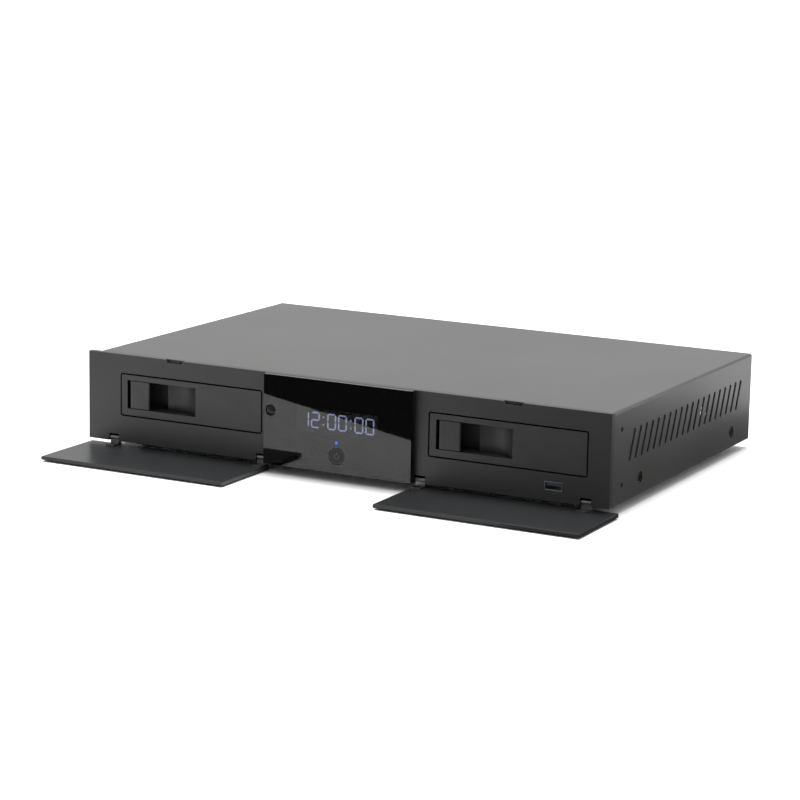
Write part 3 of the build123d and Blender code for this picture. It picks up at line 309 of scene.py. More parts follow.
# Painted shade: a black shader mixed in where occlusion finds gaps, slots and corners.
case_paint.painted_crevice_shade(3.0 * MM)
plate_paint.painted_crevice_shade(5.0 * MM)
door_paint.painted_crevice_shade(2.5 * MM)
paint(["top_cover", "rear_panel"], case_paint)
paint(["front_plate"], plate_paint)
paint(["left_door", "right_door"], door_paint)

# %% [markdown]
# ## Bare metals
# The base and the cages are zinc-plated sheet, which has large dull spangles. Pins
# and the shells of the rear sockets are bright steel with the fine lines of the
# tool. Hinges and door catches are darker steel, and the front socket's shell lies
# between the two. The heat sink is brushed aluminium, and contacts are gilt brass.
# All are fully metallic, so their look is in the tone, the roughness and the
# direction of the lines.

# %% Bare metals


def zinc_sheet(name):
    """Plated sheet: faint crystals, and a gloss that changes from one to the next."""
    finish = Finish(name)
    cells = {"Vector": finish.place, "Scale": 160.0}
    crystal = finish.add("ShaderNodeTexVoronoi", {"feature": "F1"}, cells)
    shade = finish.add("ShaderNodeSeparateColor", {}, {"Color": crystal["Color"]})
    finish.set(Metallic=1.0)
    finish.set(Base_Color=finish.blend(shade, (0.34, 0.35, 0.36), (0.46, 0.47, 0.47)))
    finish.set(Roughness=finish.remap(shade, 0.0, 1.0, 0.34, 0.5))
    finish.bump(finish.grain(900.0), 0.1, 0.05 * MM, finish.edges(0.3 * MM)[1])
    return finish


def lined_metal(name, tone, light, gloss, lines):
    """Turned, stamped or brushed metal. The lines are long in the direction of the small number."""
    finish = Finish(name)
    streak = finish.grain(1.0, 4.0, 0.6, finish.stretched(*lines))
    edge, rounded = finish.edges(0.25 * MM)
    finish.set(Metallic=1.0)
    finish.set(Base_Color=finish.blend(finish.spread(streak, 0.0, 1.0), tone, light))
    finish.set(Roughness=finish.spread(streak, *gloss) - 0.05 * edge)
    finish.bump(streak, 0.12, 0.02 * MM, rounded)
    return finish


cage_zinc = zinc_sheet("cage_zinc")
bright_steel = lined_metal(
    "bright_steel", (0.55, 0.55, 0.54), (0.70, 0.70, 0.69), (0.2, 0.32), (300, 6000, 6000)
)
hinge_steel = lined_metal(
    "hinge_steel", (0.12, 0.12, 0.125), (0.19, 0.19, 0.195), (0.32, 0.44), (300, 5000, 5000)
)
dark_steel = lined_metal(
    "dark_steel", (0.045, 0.046, 0.048), (0.09, 0.09, 0.095), (0.3, 0.42), (400, 5000, 5000)
)
usb_steel = lined_metal(
    "usb_steel", (0.36, 0.37, 0.39), (0.48, 0.49, 0.52), (0.25, 0.35), (400, 5000, 5000)
)
sink_metal = lined_metal(
    "sink_metal", (0.62, 0.63, 0.64), (0.74, 0.75, 0.76), (0.3, 0.42), (5000, 250, 5000)
)
pin_brass = lined_metal(
    "pin_brass", (0.66, 0.52, 0.27), (0.8, 0.65, 0.36), (0.22, 0.34), (4000, 300, 4000)
)
# Painted shade in the hollows of the hinges and the door catches.
hinge_steel.painted_crevice_shade(2.5 * MM)
dark_steel.painted_crevice_shade(4.0 * MM)
paint(["base_chassis", "left_drive_cage", "right_drive_cage"], cage_zinc)
paint(["hinge_pins", "left_lever_pin", "right_lever_pin"], bright_steel)
paint(["rear_usb_socket", "hdmi_socket", "network_socket"], bright_steel)
paint(["left_door_hinges", "right_door_hinges"], hinge_steel)
paint(["door_catches"], dark_steel)
paint(["front_usb_socket"], usb_steel)
paint(["heat_sink"], sink_metal)
paint(["inlet_pins", "board_standoffs"], pin_brass)

# %% [markdown]
# ## Moulded plastics
# The tray faces, levers, sockets and the fan are moulded. A mould leaves a fine
# spark-eroded texture, softer and rounder than paint, and the gloss is lower
# where fingers don't polish it. One maker covers them all, because only tone,
# gloss and the texture's scale change.

# %% Plastics


def moulded(name, tone, gloss, texture=3000.0, relief=0.35, handled=0.0):
    """Moulded plastic. Handled plastic is polished in slow patches."""
    finish = Finish(name)
    spark = finish.grain(texture, 2.0, 0.7)
    patch = finish.grain(60.0, 2.0)
    edge, rounded = finish.edges(0.4 * MM)
    light = [min(1.0, 1.25 * c + 0.002) for c in tone]
    mottle = finish.spread(patch, 0.0, 1.0)
    finish.set(Base_Color=finish.blend(0.7 * mottle + 0.3 * spark, tone, light))
    finish.set(Roughness=finish.spread(spark, *gloss) - handled * mottle - 0.05 * edge)
    finish.bump(spark, relief, 0.04 * MM, rounded)
    return finish


tray_plastic = moulded("tray_plastic", (0.020, 0.020, 0.021), (0.42, 0.52), 3600.0, 0.25, 0.04)
lever_plastic = moulded("lever_plastic", (0.017, 0.017, 0.018), (0.38, 0.46), 3600.0, 0.2, 0.06)
frame_plastic = moulded("frame_plastic", (0.018, 0.018, 0.019), (0.4, 0.55))
carrier_plastic = moulded("carrier_plastic", (0.006, 0.006, 0.007), (0.5, 0.6), 2000.0, 0.15)
button_plastic = moulded("button_plastic", (0.010, 0.010, 0.011), (0.3, 0.38), 4000.0, 0.1, 0.05)
button_plastic.set(Specular_IOR_Level=0.22)
socket_plastic = moulded("socket_plastic", (0.012, 0.012, 0.012), (0.36, 0.48), 2500.0, 0.3)
display_plastic = moulded("display_plastic", (0.004, 0.004, 0.005), (0.3, 0.4), 2000.0, 0.1)
switch_plastic = moulded("switch_plastic", (0.2, 0.2, 0.19), (0.35, 0.45), 3000.0, 0.2)
# Painted shade in the trays' recessed wells and round the levers.
tray_plastic.painted_crevice_shade(12.0 * MM, open_from=0.68, shut_from=0.25)
lever_plastic.painted_crevice_shade(3.0 * MM)
paint(["left_tray_face", "right_tray_face"], tray_plastic)
paint(["left_tray_lever", "right_tray_lever"], lever_plastic)
paint(["left_tray_carrier", "right_tray_carrier", "fan_frame", "fan_rotor"], frame_plastic)
paint(["switch_housing", "mains_inlet"], frame_plastic)
paint(["panel_carrier"], carrier_plastic)
paint(["power_button"], button_plastic)
paint(["drive_sockets", "optical_socket", "power_rocker"], socket_plastic)
paint(["display_module"], display_plastic)
paint(["button_switch"], switch_plastic)

# %% [markdown]
# ## Rubber, boards and windings
# Rubber is matt with a dusty bloom. A circuit board is green lacquer over copper
# tracks, so its pattern is a grid of thin lines that are a little raised and
# lighter. The transformer's core is wrapped in yellow tape, and the capacitors
# have a printed plastic sleeve with a bare aluminium top.

# %% Rubber, boards, windings and sleeves


def rubber(name):
    finish = Finish(name)
    bloom = finish.grain(90.0, 4.0, 0.6)
    pore = finish.grain(1800.0, 2.0)
    dusty = finish.remap(bloom, 0.4, 0.7, 0.0, 1.0)
    finish.set(Base_Color=finish.blend(dusty, (0.010,) * 3, (0.022,) * 3))
    finish.set(Roughness=finish.spread(bloom, 0.68, 0.85))
    finish.bump(pore, 0.3, 0.06 * MM, finish.edges(0.5 * MM)[1])
    return finish


def circuit_board(name):
    """Green lacquer over copper tracks that run along both sides of a grid."""
    finish = Finish(name)
    settings = {"offset": 0.5, "squash": 1.0}
    grid = {"Scale": 260.0, "Mortar Size": 0.05, "Brick Width": 1.4, "Row Height": 0.4}
    tracks = finish.add("ShaderNodeTexBrick", settings, {"Vector": finish.place, **grid})["Fac"]
    patch = finish.grain(40.0, 1.0) > 0.52
    copper = tracks * patch
    lacquer = finish.blend(finish.grain(900.0), (0.010, 0.062, 0.028), (0.014, 0.08, 0.036))
    finish.set(Base_Color=finish.blend(copper, lacquer, (0.05, 0.16, 0.06)))
    finish.set(Roughness=finish.remap(copper, 0.0, 1.0, 0.28, 0.22))
    finish.bump(copper, 0.4, 0.04 * MM)
    return finish


def tape_winding(name):
    finish = Finish(name)
    wave = {"Vector": finish.place, "Scale": 70.0, "Distortion": 0.6}
    bands = finish.add("ShaderNodeTexWave", {"bands_direction": "Z"}, wave)
    finish.set(Base_Color=finish.blend(bands, (0.62, 0.42, 0.05), (0.74, 0.53, 0.09)))
    finish.set(Roughness=finish.spread(finish.grain(500.0), 0.26, 0.42))
    finish.bump(bands, 0.3, 0.1 * MM, finish.edges(0.5 * MM)[1])
    return finish


def sleeve(name, tone, foil):
    """A shrunk sleeve that leaves the flat end of the can bare."""
    finish = Finish(name)
    facing = finish.add("ShaderNodeNewGeometry")["Normal"]
    top = finish.add("ShaderNodeSeparateXYZ", {}, {"Vector": facing})["Z"] > 0.7
    ripple = finish.grain(220.0, 3.0)
    finish.set(Base_Color=finish.blend(top, tone, foil))
    finish.set(Metallic=top)
    finish.set(Roughness=finish.spread(ripple, 0.24, 0.38))
    finish.bump(ripple, 0.1, 0.08 * MM, finish.edges(0.4 * MM)[1])
    return finish


foot_rubber = rubber("foot_rubber")
board_green = circuit_board("board_green")
core_tape = tape_winding("core_tape")
can_sleeve = sleeve("can_sleeve", (0.012, 0.03, 0.16), (0.6, 0.6, 0.6))
paint(["feet", "cage_grommets", "left_tray_pads", "right_tray_pads"], foot_rubber)
paint(["front_board", "usb_board", "main_board", "supply_board"], board_green)
paint(["left_drive_board", "right_drive_board"], board_green)
paint(["transformer"], core_tape)
paint(["capacitors"], can_sleeve)

# %% [markdown]
# ## Dark glass, lit digits and the lamp
# The middle of the front is one sheet of smoked glass over a black carrier. It
# has to mirror the bright floor and still let the clock through, so it is real
# tinted glass and not black paint. The digits are fluorescent: bluish white, not
# quite even, so the light varies a little from bar to bar.

# %% Glass and lights


def smoked_glass(name):
    finish = Finish(name)
    smear = finish.grain(18.0, 4.0, 0.6)
    finish.set(Base_Color=finish.blend(smear, (0.080, 0.080, 0.086), (0.090, 0.090, 0.094)))
    finish.set(Roughness=finish.remap(smear, 0.45, 0.75, 0.012, 0.04))
    finish.set(IOR=1.5, Transmission_Weight=1.0)
    return finish


def glow(name, tone, warm, strength, scale):
    """Something that gives light, uneven over its face."""
    finish = Finish(name)
    cloud = finish.spread(finish.grain(scale, 2.0), 0.0, 1.0)
    finish.set(Base_Color=(0.02, 0.02, 0.02), Emission_Strength=strength)
    finish.set(Emission_Color=finish.blend(cloud, tone, warm))
    finish.set(Roughness=finish.remap(cloud, 0.0, 1.0, 0.3, 0.5))
    return finish


panel_glass = smoked_glass("panel_glass")
digit_glow = glow("digit_glow", (0.42, 0.52, 0.86), (0.55, 0.62, 0.9), 4.6, 500.0)
lamp_glow = glow("lamp_glow", (0.03, 0.09, 0.62), (0.05, 0.13, 0.8), 1.0, 900.0)
paint(["glass_panel"], panel_glass)
paint(["display_digits"], digit_glow)
paint(["status_lamp"], lamp_glow)

# %% [markdown]
# ## The colours of the round jacks
# The round jacks at the back carry the colours that tell them apart: red and
# white for sound, green, blue and red for the picture. One piece holds a whole
# row, so the colour is chosen in the material from how far along the row a point
# is. The steps between the colours come from where the CAD's jacks begin.

# %% Jack colours


def jack_row(name, steps):
    """Plastic that changes colour at given places along X, in metres."""
    finish = Finish(name)
    along = finish.add("ShaderNodeSeparateXYZ", {}, {"Vector": finish.place})["X"]
    tone = steps[0][1]
    for start, colour in steps[1:]:
        tone = finish.blend(along > start, tone, colour)
    spark = finish.grain(2500.0)
    finish.set(Base_Color=tone)
    finish.set(Roughness=finish.spread(spark, 0.28, 0.4))
    finish.bump(spark, 0.15, 0.04 * MM, finish.edges(0.4 * MM)[1])
    return finish


def separate_boxes(node):
    """The lowest and highest corner of each separate solid in a CAD piece, by X, then Y, then Z."""
    loose = bmesh.new()
    loose.from_mesh(nodes[node].data)
    bmesh.ops.remove_doubles(loose, verts=loose.verts, dist=0.001 * MM)
    unseen = set(loose.verts)
    found = []
    while unseen:
        group = [unseen.pop()]
        for vertex in group:
            near = {e.other_vert(vertex) for e in vertex.link_edges} & unseen
            unseen -= near
            group.extend(near)
        low = Vector(min(v.co[i] for v in group) for i in range(3))
        high = Vector(max(v.co[i] for v in group) for i in range(3))
        found.append((low, high))
    loose.free()
    return sorted(found, key=lambda box: [round(x, 4) for x in (*box[0], *box[1])])


audio_boxes = separate_boxes("audio_jacks")
video_boxes = separate_boxes("video_jacks")
red, white = (0.45, 0.02, 0.02), (0.6, 0.6, 0.58)
green, blue = (0.02, 0.24, 0.06), (0.02, 0.06, 0.42)
audio_steps = [(0, red), (audio_boxes[-1][0].x, white)]
video_steps = [(0, green), (video_boxes[-2][0].x, blue), (video_boxes[-1][0].x, red)]
audio_colours = jack_row("audio_colours", audio_steps)
video_colours = jack_row("video_colours", video_steps)
print("jacks", len(audio_boxes), len(video_boxes))

# %% [markdown]
# ## Geometry Nodes for what repeats
# Screws, contacts and board parts repeat many times. Each kind is one node tree
# with named sizes, which puts a copy on every point of a small seed mesh. The
# result is made real, given its material, and turned into a plain mesh, because
# instances are lost when the model is exported.

# %% Geometry tree helpers


class Pattern(Graph):
    """A Geometry Nodes tree with named inputs, and a finish for what it makes."""

    def __init__(self, name, inputs):
        super().__init__(bpy.data.node_groups.new(name, "GeometryNodeTree"))
        face = self.tree.interface
        face.new_socket("Geometry", in_out="INPUT", socket_type="NodeSocketGeometry")
        self.ids = {}
        for label, default in inputs.items():
            kind = "NodeSocketInt" if isinstance(default, int) else "NodeSocketFloat"
            socket = face.new_socket(label, in_out="INPUT", socket_type=kind)
            socket.default_value = default
            self.ids[label] = socket.identifier
        face.new_socket("Geometry", in_out="OUTPUT", socket_type="NodeSocketGeometry")
        self.source = self.add("NodeGroupInput")
        self.out = self.tree.nodes.new("NodeGroupOutput")

    def sizes(self):
        """The tree's inputs, in the order in which they were named."""
        return [self.source[label] for label in self.ids]

    def vector(self, x=0.0, y=0.0, z=0.0):
        return self.add("ShaderNodeCombineXYZ", {}, {"X": x, "Y": y, "Z": z})

    def block(self, x, y, z):
        return self.add("GeometryNodeMeshCube", {}, {"Size": self.vector(x, y, z)})

    def line(self, count, step):
        """Points in a line, each one step further than the last."""
        return self.add("GeometryNodeMeshLine", {"mode": "OFFSET"}, {"Count": count, "Offset": step})

    def moved(self, geometry, **change):
        return self.add("GeometryNodeTransform", {}, {"Geometry": geometry, **change})

    def joined(self, *parts):
        join = self.add("GeometryNodeJoinGeometry")
        for part in parts:
            self.tree.links.new(part.socket, join.socket.node.inputs[0])
        return join

    def copied(self, points, geometry, **turned):
        """A copy of some geometry on every point."""
        sockets = {"Points": points, "Instance": geometry, **turned}
        return self.add("GeometryNodeInstanceOnPoints", {}, sockets)

    def finish_with(self, geometry, finish, **turned):
        """Copies on the seed's points, made real and given their finish."""
        copies = self.copied(self.source, geometry, **turned)
        real = self.add("GeometryNodeRealizeInstances", {}, {"Geometry": copies})
        coated = {"Geometry": real, "Material": finish.material}
        made = self.add("GeometryNodeSetMaterial", {}, coated)
        self.tree.links.new(made.socket, self.out.inputs[0])
        self.finish = finish


def seed_points(name, places, facing=()):
    """A mesh of loose points and, where copies have to turn, the direction that each looks in."""
    mesh = bpy.data.meshes.new(name)
    mesh.from_pydata([tuple(p) for p in places], [], [])
    if facing:
        directions = mesh.attributes.new("facing", "FLOAT_VECTOR", "POINT")
        directions.data.foreach_set("vector", [x for way in facing for x in way])
    return mesh


def placed(name, mesh, body):
    """A finished mesh as a piece that rides on a body."""
    mesh.name = name
    piece = bpy.data.objects.new(name, mesh)
    scene.collection.objects.link(piece)
    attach(piece, body)
    print(name, "on", body, "with", len(mesh.polygons), "faces")
    return piece


def grown(name, pattern, seed, body, record_slot, **sizes):
    """Run a pattern on a seed mesh and keep the result as a plain piece on a body."""
    piece = bpy.data.objects.new(name + "_seed", seed)
    scene.collection.objects.link(piece)
    modifier = piece.modifiers.new("pattern", "NODES")
    modifier.node_group = pattern.tree
    for label, value in sizes.items():
        modifier[pattern.ids[label.replace("_", " ")]] = value
    bpy.context.view_layer.update()
    evaluated = piece.evaluated_get(bpy.context.evaluated_depsgraph_get())
    mesh = bpy.data.meshes.new_from_object(evaluated)
    bpy.data.objects.remove(piece)
    mesh.materials.clear()
    mesh.materials.append(pattern.finish.material)
    mesh.polygons.foreach_set("material_index", [0] * len(mesh.polygons))
    return placed(name, mesh, body)


# %% [markdown]
# ## Screws with a real recess
# A machine screw is a low round head with a cross pressed into it. The CAD holds
# plain heads. Here the cross is really cut, so that it catches light and shade:
# two crossed bars are taken out of a turned head, one after the other, and a copy
# is put on every screw's place. A head is as wide as the CAD's, and its outer face
# lies where the CAD's does.

# %% Screws


def screw_pattern(finish):
    """A low cone with two crossed bars cut out of its outer face."""
    head = {"Head Radius": 3.0 * MM, "Head Height": 1.4 * MM}
    shape = Pattern("cross_screw", {**head, "Recess Width": 0.9 * MM, "Recess Depth": 1.0 * MM})
    radius, height, width, depth = shape.sizes()
    ends = {"Radius Top": 0.86 * radius, "Radius Bottom": radius}
    cut = shape.add("GeometryNodeMeshCone", {}, {"Vertices": 28, "Depth": height, **ends})
    reach, tall = 1.2 * radius, 2.0 * depth
    for bar in (shape.block(reach, width, tall), shape.block(width, reach, tall)):
        tool = shape.moved(bar, Translation=shape.vector(z=height))
        pair = {"Mesh 1": cut, "Mesh 2": tool}
        cut = shape.add("GeometryNodeMeshBoolean", {"operation": "DIFFERENCE"}, pair)
    stored = {"data_type": "FLOAT_VECTOR"}
    way = shape.add("GeometryNodeInputNamedAttribute", stored, {"Name": "facing"})
    turned = shape.add("FunctionNodeAlignRotationToVector", {"axis": "Z"}, {"Vector": way})
    shape.finish_with(cut, finish, Rotation=turned)
    return shape


def screw_heads(name, node, axis, outwards, height, **recess):
    """Recessed heads in place of a CAD group of plain screws that lie along one axis."""
    boxes = separate_boxes(node)
    places, facing = [], []
    for low, high in boxes:
        middle = (low + high) / 2
        direction = Vector((0, 0, 0))
        direction[axis] = outwards(middle)
        middle[axis] = high[axis] if direction[axis] > 0 else low[axis]
        places.append(middle - height * direction)
        facing.append(direction)
    first_low, first_high = boxes[0]
    sizes = {"Head_Radius": (first_high.z - first_low.z) / 2, "Head_Height": height, **recess}
    seed = seed_points(name + "_places", places, facing)
    heads = grown(name, cross_screw, seed, "chassis", "bright_steel", **sizes)
    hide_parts(node)


def outer_side(middle):
    return 1 if middle.x > 0 else -1


def backwards(middle):
    return 1


black_screw = lined_metal(
    "black_screw", (0.05, 0.05, 0.052), (0.08, 0.08, 0.082), (0.26, 0.36), (3000, 3000, 3000)
)
cross_screw = screw_pattern(black_screw)
screw_heads("side_screw_heads", "cover_screws", 0, outer_side, 1.15 * MM)
screw_heads("fan_screw_heads", "fan_screws", 1, backwards, 1.55 * MM, Recess_Width=0.7 * MM)
paint(["cage_screws"], black_screw)

# %% [markdown]
# ## The power mark
# The power button carries a ring round its rim and the usual stand-by sign, a
# broken circle with a bar. Both are lines that follow a circle, so one tree makes
# an arc of any angle and sweeps a thin flat profile along it.

# %% Power mark


def arc_pattern(finish):
    """A flat line round part of a circle in the front's plane, and an upright bar at its top."""
    sizes = {"Radius": 5.0 * MM, "Sweep": radians(360), "Line": 0.4 * MM, "Bar": 0.0}
    shape = Pattern("arc_mark", sizes)
    radius, sweep, line, bar = shape.sizes()
    start = radians(90) + (radians(360) - sweep) / 2
    arc = {"Resolution": 48, "Radius": radius, "Start Angle": start, "Sweep Angle": sweep}
    path = shape.add("GeometryNodeCurveArc", {"mode": "RADIUS"}, arc)
    rim = {"Resolution": 8, "Radius": line / 2}
    profile = shape.add("GeometryNodeCurvePrimitiveCircle", {"mode": "RADIUS"}, rim)
    sweeping = {"Curve": path, "Profile Curve": profile, "Fill Caps": True}
    swept = shape.add("GeometryNodeCurveToMesh", {}, sweeping)
    stroke = shape.moved(shape.block(line, bar, line), Translation=shape.vector(y=radius))
    both = shape.joined(swept, stroke)
    flat = shape.moved(both, Scale=(1.0, 1.0, 0.5), Rotation=(radians(90), 0.0, 0.0))
    shape.finish_with(flat, finish)
    return shape


mark_print = moulded("mark_print", (0.09, 0.09, 0.095), (0.25, 0.35), 2000.0, 0.1)
arc_mark = arc_pattern(mark_print)
button_low, button_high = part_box("power_button")
button_middle = (button_low + button_high) / 2
sunk_by = 0.02 * MM
mark_place = Vector((button_middle.x, button_low.y + sunk_by, button_middle.z))
ring = {"Radius": 5.6 * MM, "Line": 0.28 * MM}
sign = {"Radius": 1.9 * MM, "Sweep": radians(290), "Line": 0.34 * MM, "Bar": 1.9 * MM}
for name, sizes in (("button_ring", ring), ("button_sign", sign)):
    mark_seed = seed_points(name + "_place", [mark_place])
    grown(name, arc_mark, mark_seed, "power_button", "button_black", **sizes)

# %% [markdown]
# ## The receiver's lens
# The remote control's receiver looks out through a small smoked lens, which is
# slightly domed. A dome mirrors the floor only low on its face, and that small
# light spot is what tells it from a flat hole. It is a profile turned on its axis.

# %% Receiver lens


def turn_into(shape, middle, profile, steps, slot=0):
    """Add a profile turned round an axis along Y. Its pairs are a radius and a way along Y."""
    rings = []
    for radius, way in profile:
        angles = [radians(360) * step / steps for step in range(steps if radius else 1)]
        arms = [Matrix.Rotation(angle, 3, "Y") @ Vector((radius, 0, 0)) for angle in angles]
        rings.append([shape.verts.new(middle + arm + Vector((0, way, 0))) for arm in arms])
    for first, second in zip(rings, rings[1:]):
        for step in range(steps):
            after = (step + 1) % steps
            corners = [first[step % len(first)], first[after % len(first)]]
            corners += [second[after % len(second)], second[step % len(second)]]
            face = shape.faces.new(dict.fromkeys(corners))
            face.material_index = slot
            face.smooth = True


def kept_mesh(name, shape, finishes):
    """A bmesh as a mesh with its seams closed and its faces pointing outwards."""
    bmesh.ops.remove_doubles(shape, verts=shape.verts, dist=0.0001 * MM)
    bmesh.ops.recalc_face_normals(shape, faces=shape.faces)
    mesh = bpy.data.meshes.new(name)
    shape.to_mesh(mesh)
    shape.free()
    for finish in finishes:
        mesh.materials.append(finish.material)
    return mesh


lens_smoke = moulded("lens_smoke", (0.006, 0.005, 0.006), (0.12, 0.18), 300.0, 0.02)
lens_smoke.set(Specular_IOR_Level=0.2)
lens_low, lens_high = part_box("receiver_lens")
lens_radius = (lens_high.x - lens_low.x) / 2
lens_middle = Vector(((lens_low.x + lens_high.x) / 2, lens_low.y, (lens_low.z + lens_high.z) / 2))
bulge, rim_depth, lens_depth = 0.75 * MM, 0.1 * MM, 6.0 * MM
dome = [(0, -bulge)]
for share in (0.2, 0.4, 0.6, 0.75, 0.88, 0.96):
    dome.append((share * lens_radius, -bulge * (1 - share * share)))
dome += [(lens_radius, rim_depth), (lens_radius, lens_depth), (0, lens_depth)]
dome_shape = bmesh.new()
turn_into(dome_shape, lens_middle, dome, steps=40)
dome_mesh = kept_mesh("receiver_dome", dome_shape, [lens_smoke])
dome_piece = placed("receiver_dome", dome_mesh, "chassis")
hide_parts("receiver_lens")

# %% [markdown]
# ## Contacts and tongues in the sockets
# A socket is told by what is inside it: a plastic tongue with a row of gilt
# contacts on its underside. One tree makes a row of thin strips along X, and the
# tongue is a block with rounded edges. The front socket comes first, because it
# is the one that the photograph shows.

# %% Contacts of the front socket


def contact_pattern(finish):
    """A centred row of thin strips along X."""
    sizes = {"Count": 4, "Pitch": 2.0 * MM, "Width": 1.0 * MM, "Length": 6.0 * MM}
    shape = Pattern("contact_row", sizes)
    count, pitch, width, length = shape.sizes()
    row = shape.line(count, shape.vector(x=pitch))
    centred = shape.moved(row, Translation=shape.vector(x=(1 - count) * pitch / 2))
    thickness = 0.15 * MM
    shape.finish_with(shape.copied(centred, shape.block(width, length, thickness)), finish)
    return shape


def add_block(shape, low, high, round_by, segments):
    """Add a block with rounded edges between two corners."""
    low, high = Vector(low), Vector(high)
    made = bmesh.ops.create_cube(shape, size=1.0)["verts"]
    for vertex in made:
        share = vertex.co + Vector((0.5, 0.5, 0.5))
        vertex.co = Vector(a + (b - a) * s for a, b, s in zip(low, high, share))
    edges = list(dict.fromkeys(edge for vertex in made for edge in vertex.link_edges))
    rounding = {"offset": round_by, "segments": segments, "profile": 0.5, "affect": "EDGES"}
    bmesh.ops.bevel(shape, geom=edges, **rounding)


def socket_tongue(name, ending, low, high, contacts_at, **strips):
    """A tongue between two corners, and the contacts under it."""
    shape = bmesh.new()
    add_block(shape, low, high, round_by=0.2 * MM, segments=3)
    tongue = f"{name}_tongue{ending}"
    placed(tongue, kept_mesh(tongue, shape, [tongue_plastic]), "chassis")
    seed = seed_points(f"{name}_contact_seed{ending}", [contacts_at])
    grown(f"{name}_contacts{ending}", contact_row, seed, "chassis", "brass_pin", **strips)


tongue_plastic = moulded("tongue_plastic", (0.035, 0.042, 0.065), (0.3, 0.42))
contact_row = contact_pattern(pin_brass)
usb_low, usb_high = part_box("front_usb_socket")
usb_middle = (usb_low + usb_high) / 2
side_gap, front_gap, back_gap = 1.2 * MM, 1.0 * MM, 2.0 * MM
underside, upperside = usb_middle.z + 0.2 * MM, usb_middle.z + 2.0 * MM
tongue_low = (usb_low.x + side_gap, usb_low.y + front_gap, underside)
tongue_high = (usb_high.x - side_gap, usb_high.y - back_gap, upperside)
strip_behind, strip_below = 5.0 * MM, 0.03 * MM
usb_contacts_at = Vector((usb_middle.x, usb_low.y + strip_behind, underside - strip_below))
socket_tongue("usb", "", tongue_low, tongue_high, usb_contacts_at)

# %% [markdown]
# ## Contacts of the rear sockets
# The sockets at the back have the same kind of tongue, and only the number of
# contacts, their pitch and the tongue's place change from one to the next. So a
# short list in millimetres gives how high each tongue lies above its socket's
# lowest point, its half width, and how many contacts it has at what pitch. Depths
# are measured from the plane at which the double socket opens.

# %% Contacts of the rear sockets
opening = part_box("rear_usb_socket")[1].y
tongue_front, tongue_back, tongue_thickness = 1.2 * MM, 9.8 * MM, 1.1 * MM
contacts_back, contacts_below = 5.0 * MM, 0.04 * MM
rear_sockets = (
    ("hdmi", "hdmi_socket", [3.0], 5.4, 10, 1.0),
    ("network", "network_socket", [10.5], 4.6, 8, 1.02),
    ("usb_pair", "rear_usb_socket", [5.6, 13.2], 5.2, 4, 2.3),
)
for name, node, rises, half_width, count, pitch in rear_sockets:
    low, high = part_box(node)
    middle_x = (low.x + high.x) / 2
    strips = {"Count": count, "Pitch": pitch * MM, "Width": 0.5 * pitch * MM}
    for number, rise in enumerate(rises):
        z = low.z + rise * MM
        corner = (middle_x - half_width * MM, opening - tongue_back, z)
        other = (middle_x + half_width * MM, opening - tongue_front, z + tongue_thickness)
        contacts_at = Vector((middle_x, opening - contacts_back, z - contacts_below))
        socket_tongue(name, f"_{number}", corner, other, contacts_at, **strips)

# %% [markdown]
# ## Round jacks with a hole
# A phono jack is a nickel barrel round a coloured ring with a hole for the pin.
# The CAD holds a plain rod on a block, so each row is made again: a block with
# rounded edges, a coloured core and a barrel, both turned on the jack's axis.

# %% Jacks


def phono_jacks(name, node, boxes, colours, metal):
    """A row of jacks in place of a CAD row. Both profiles are in millimetres, inwards from the rim."""
    hole, ring, inner, outer = 1.6, 3.3, 3.35, 4.2
    hole_end, ring_face, back, block_face = -6.0, -0.6, -9.2, -9.3
    core = [(0, hole_end), (hole, hole_end), (hole, -0.8), (1.8, ring_face), (ring, ring_face)]
    core += [(ring, back), (0, back)]
    barrel = [(inner, -0.25), (3.55, 0), (4.0, 0), (outer, -0.2), (outer, back), (inner, back)]
    barrel.append(barrel[0])
    row = bmesh.new()
    for low, high in boxes:
        axis_x = low.x + (high.x - low.x) / 2
        middle = Vector((axis_x, high.y, high.z - outer * MM))
        block_high = Vector((high.x, high.y + block_face * MM, high.z))
        add_block(row, low, block_high, round_by=0.4 * MM, segments=2)
        for slot, profile in enumerate((core, barrel)):
            turn_into(row, middle, [(r * MM, y * MM) for r, y in profile], 32, slot)
    piece = placed(name, kept_mesh(name, row, [colours, metal]), "chassis")
    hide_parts(node)


phono_jacks("audio_phono", "audio_jacks", audio_boxes, audio_colours, bright_steel)
phono_jacks("video_phono", "video_jacks", video_boxes, video_colours, bright_steel)

# %% [markdown]
# ## Chips and small parts on the boards
# A populated board is mostly two things: flat black packages with a row of legs
# on two sides, and rows of tiny blocks. Two trees make them. The legs are copies
# along a line, and the tiny blocks stand on a grid from which a fixed seed takes
# some away and turns others.

# %% Chips


def chip_pattern(finish):
    """A flat package with a row of legs along both long sides."""
    sizes = {"Width": 10.0 * MM, "Length": 14.0 * MM, "Height": 1.2 * MM, "Legs": 12}
    shape = Pattern("legged_chip", sizes)
    width, length, height, legs = shape.sizes()
    package = shape.moved(shape.block(width, length, height), Translation=shape.vector(z=0.6 * height))
    pitch = length / (legs + 1)
    leg_length, leg_thickness, leg_reach, leg_height = 1.2 * MM, 0.2 * MM, 1.0 * MM, 0.1 * MM
    leg = shape.block(leg_length, 0.4 * pitch, leg_thickness)
    row = shape.copied(shape.line(legs, shape.vector(y=pitch)), leg)
    parts = [package]
    for side in (-0.5, 0.5):
        beside = shape.vector(side * width + side * leg_reach, pitch - length / 2, leg_height)
        parts.append(shape.moved(row, Translation=beside))
    shape.finish_with(shape.joined(*parts), finish)
    return shape


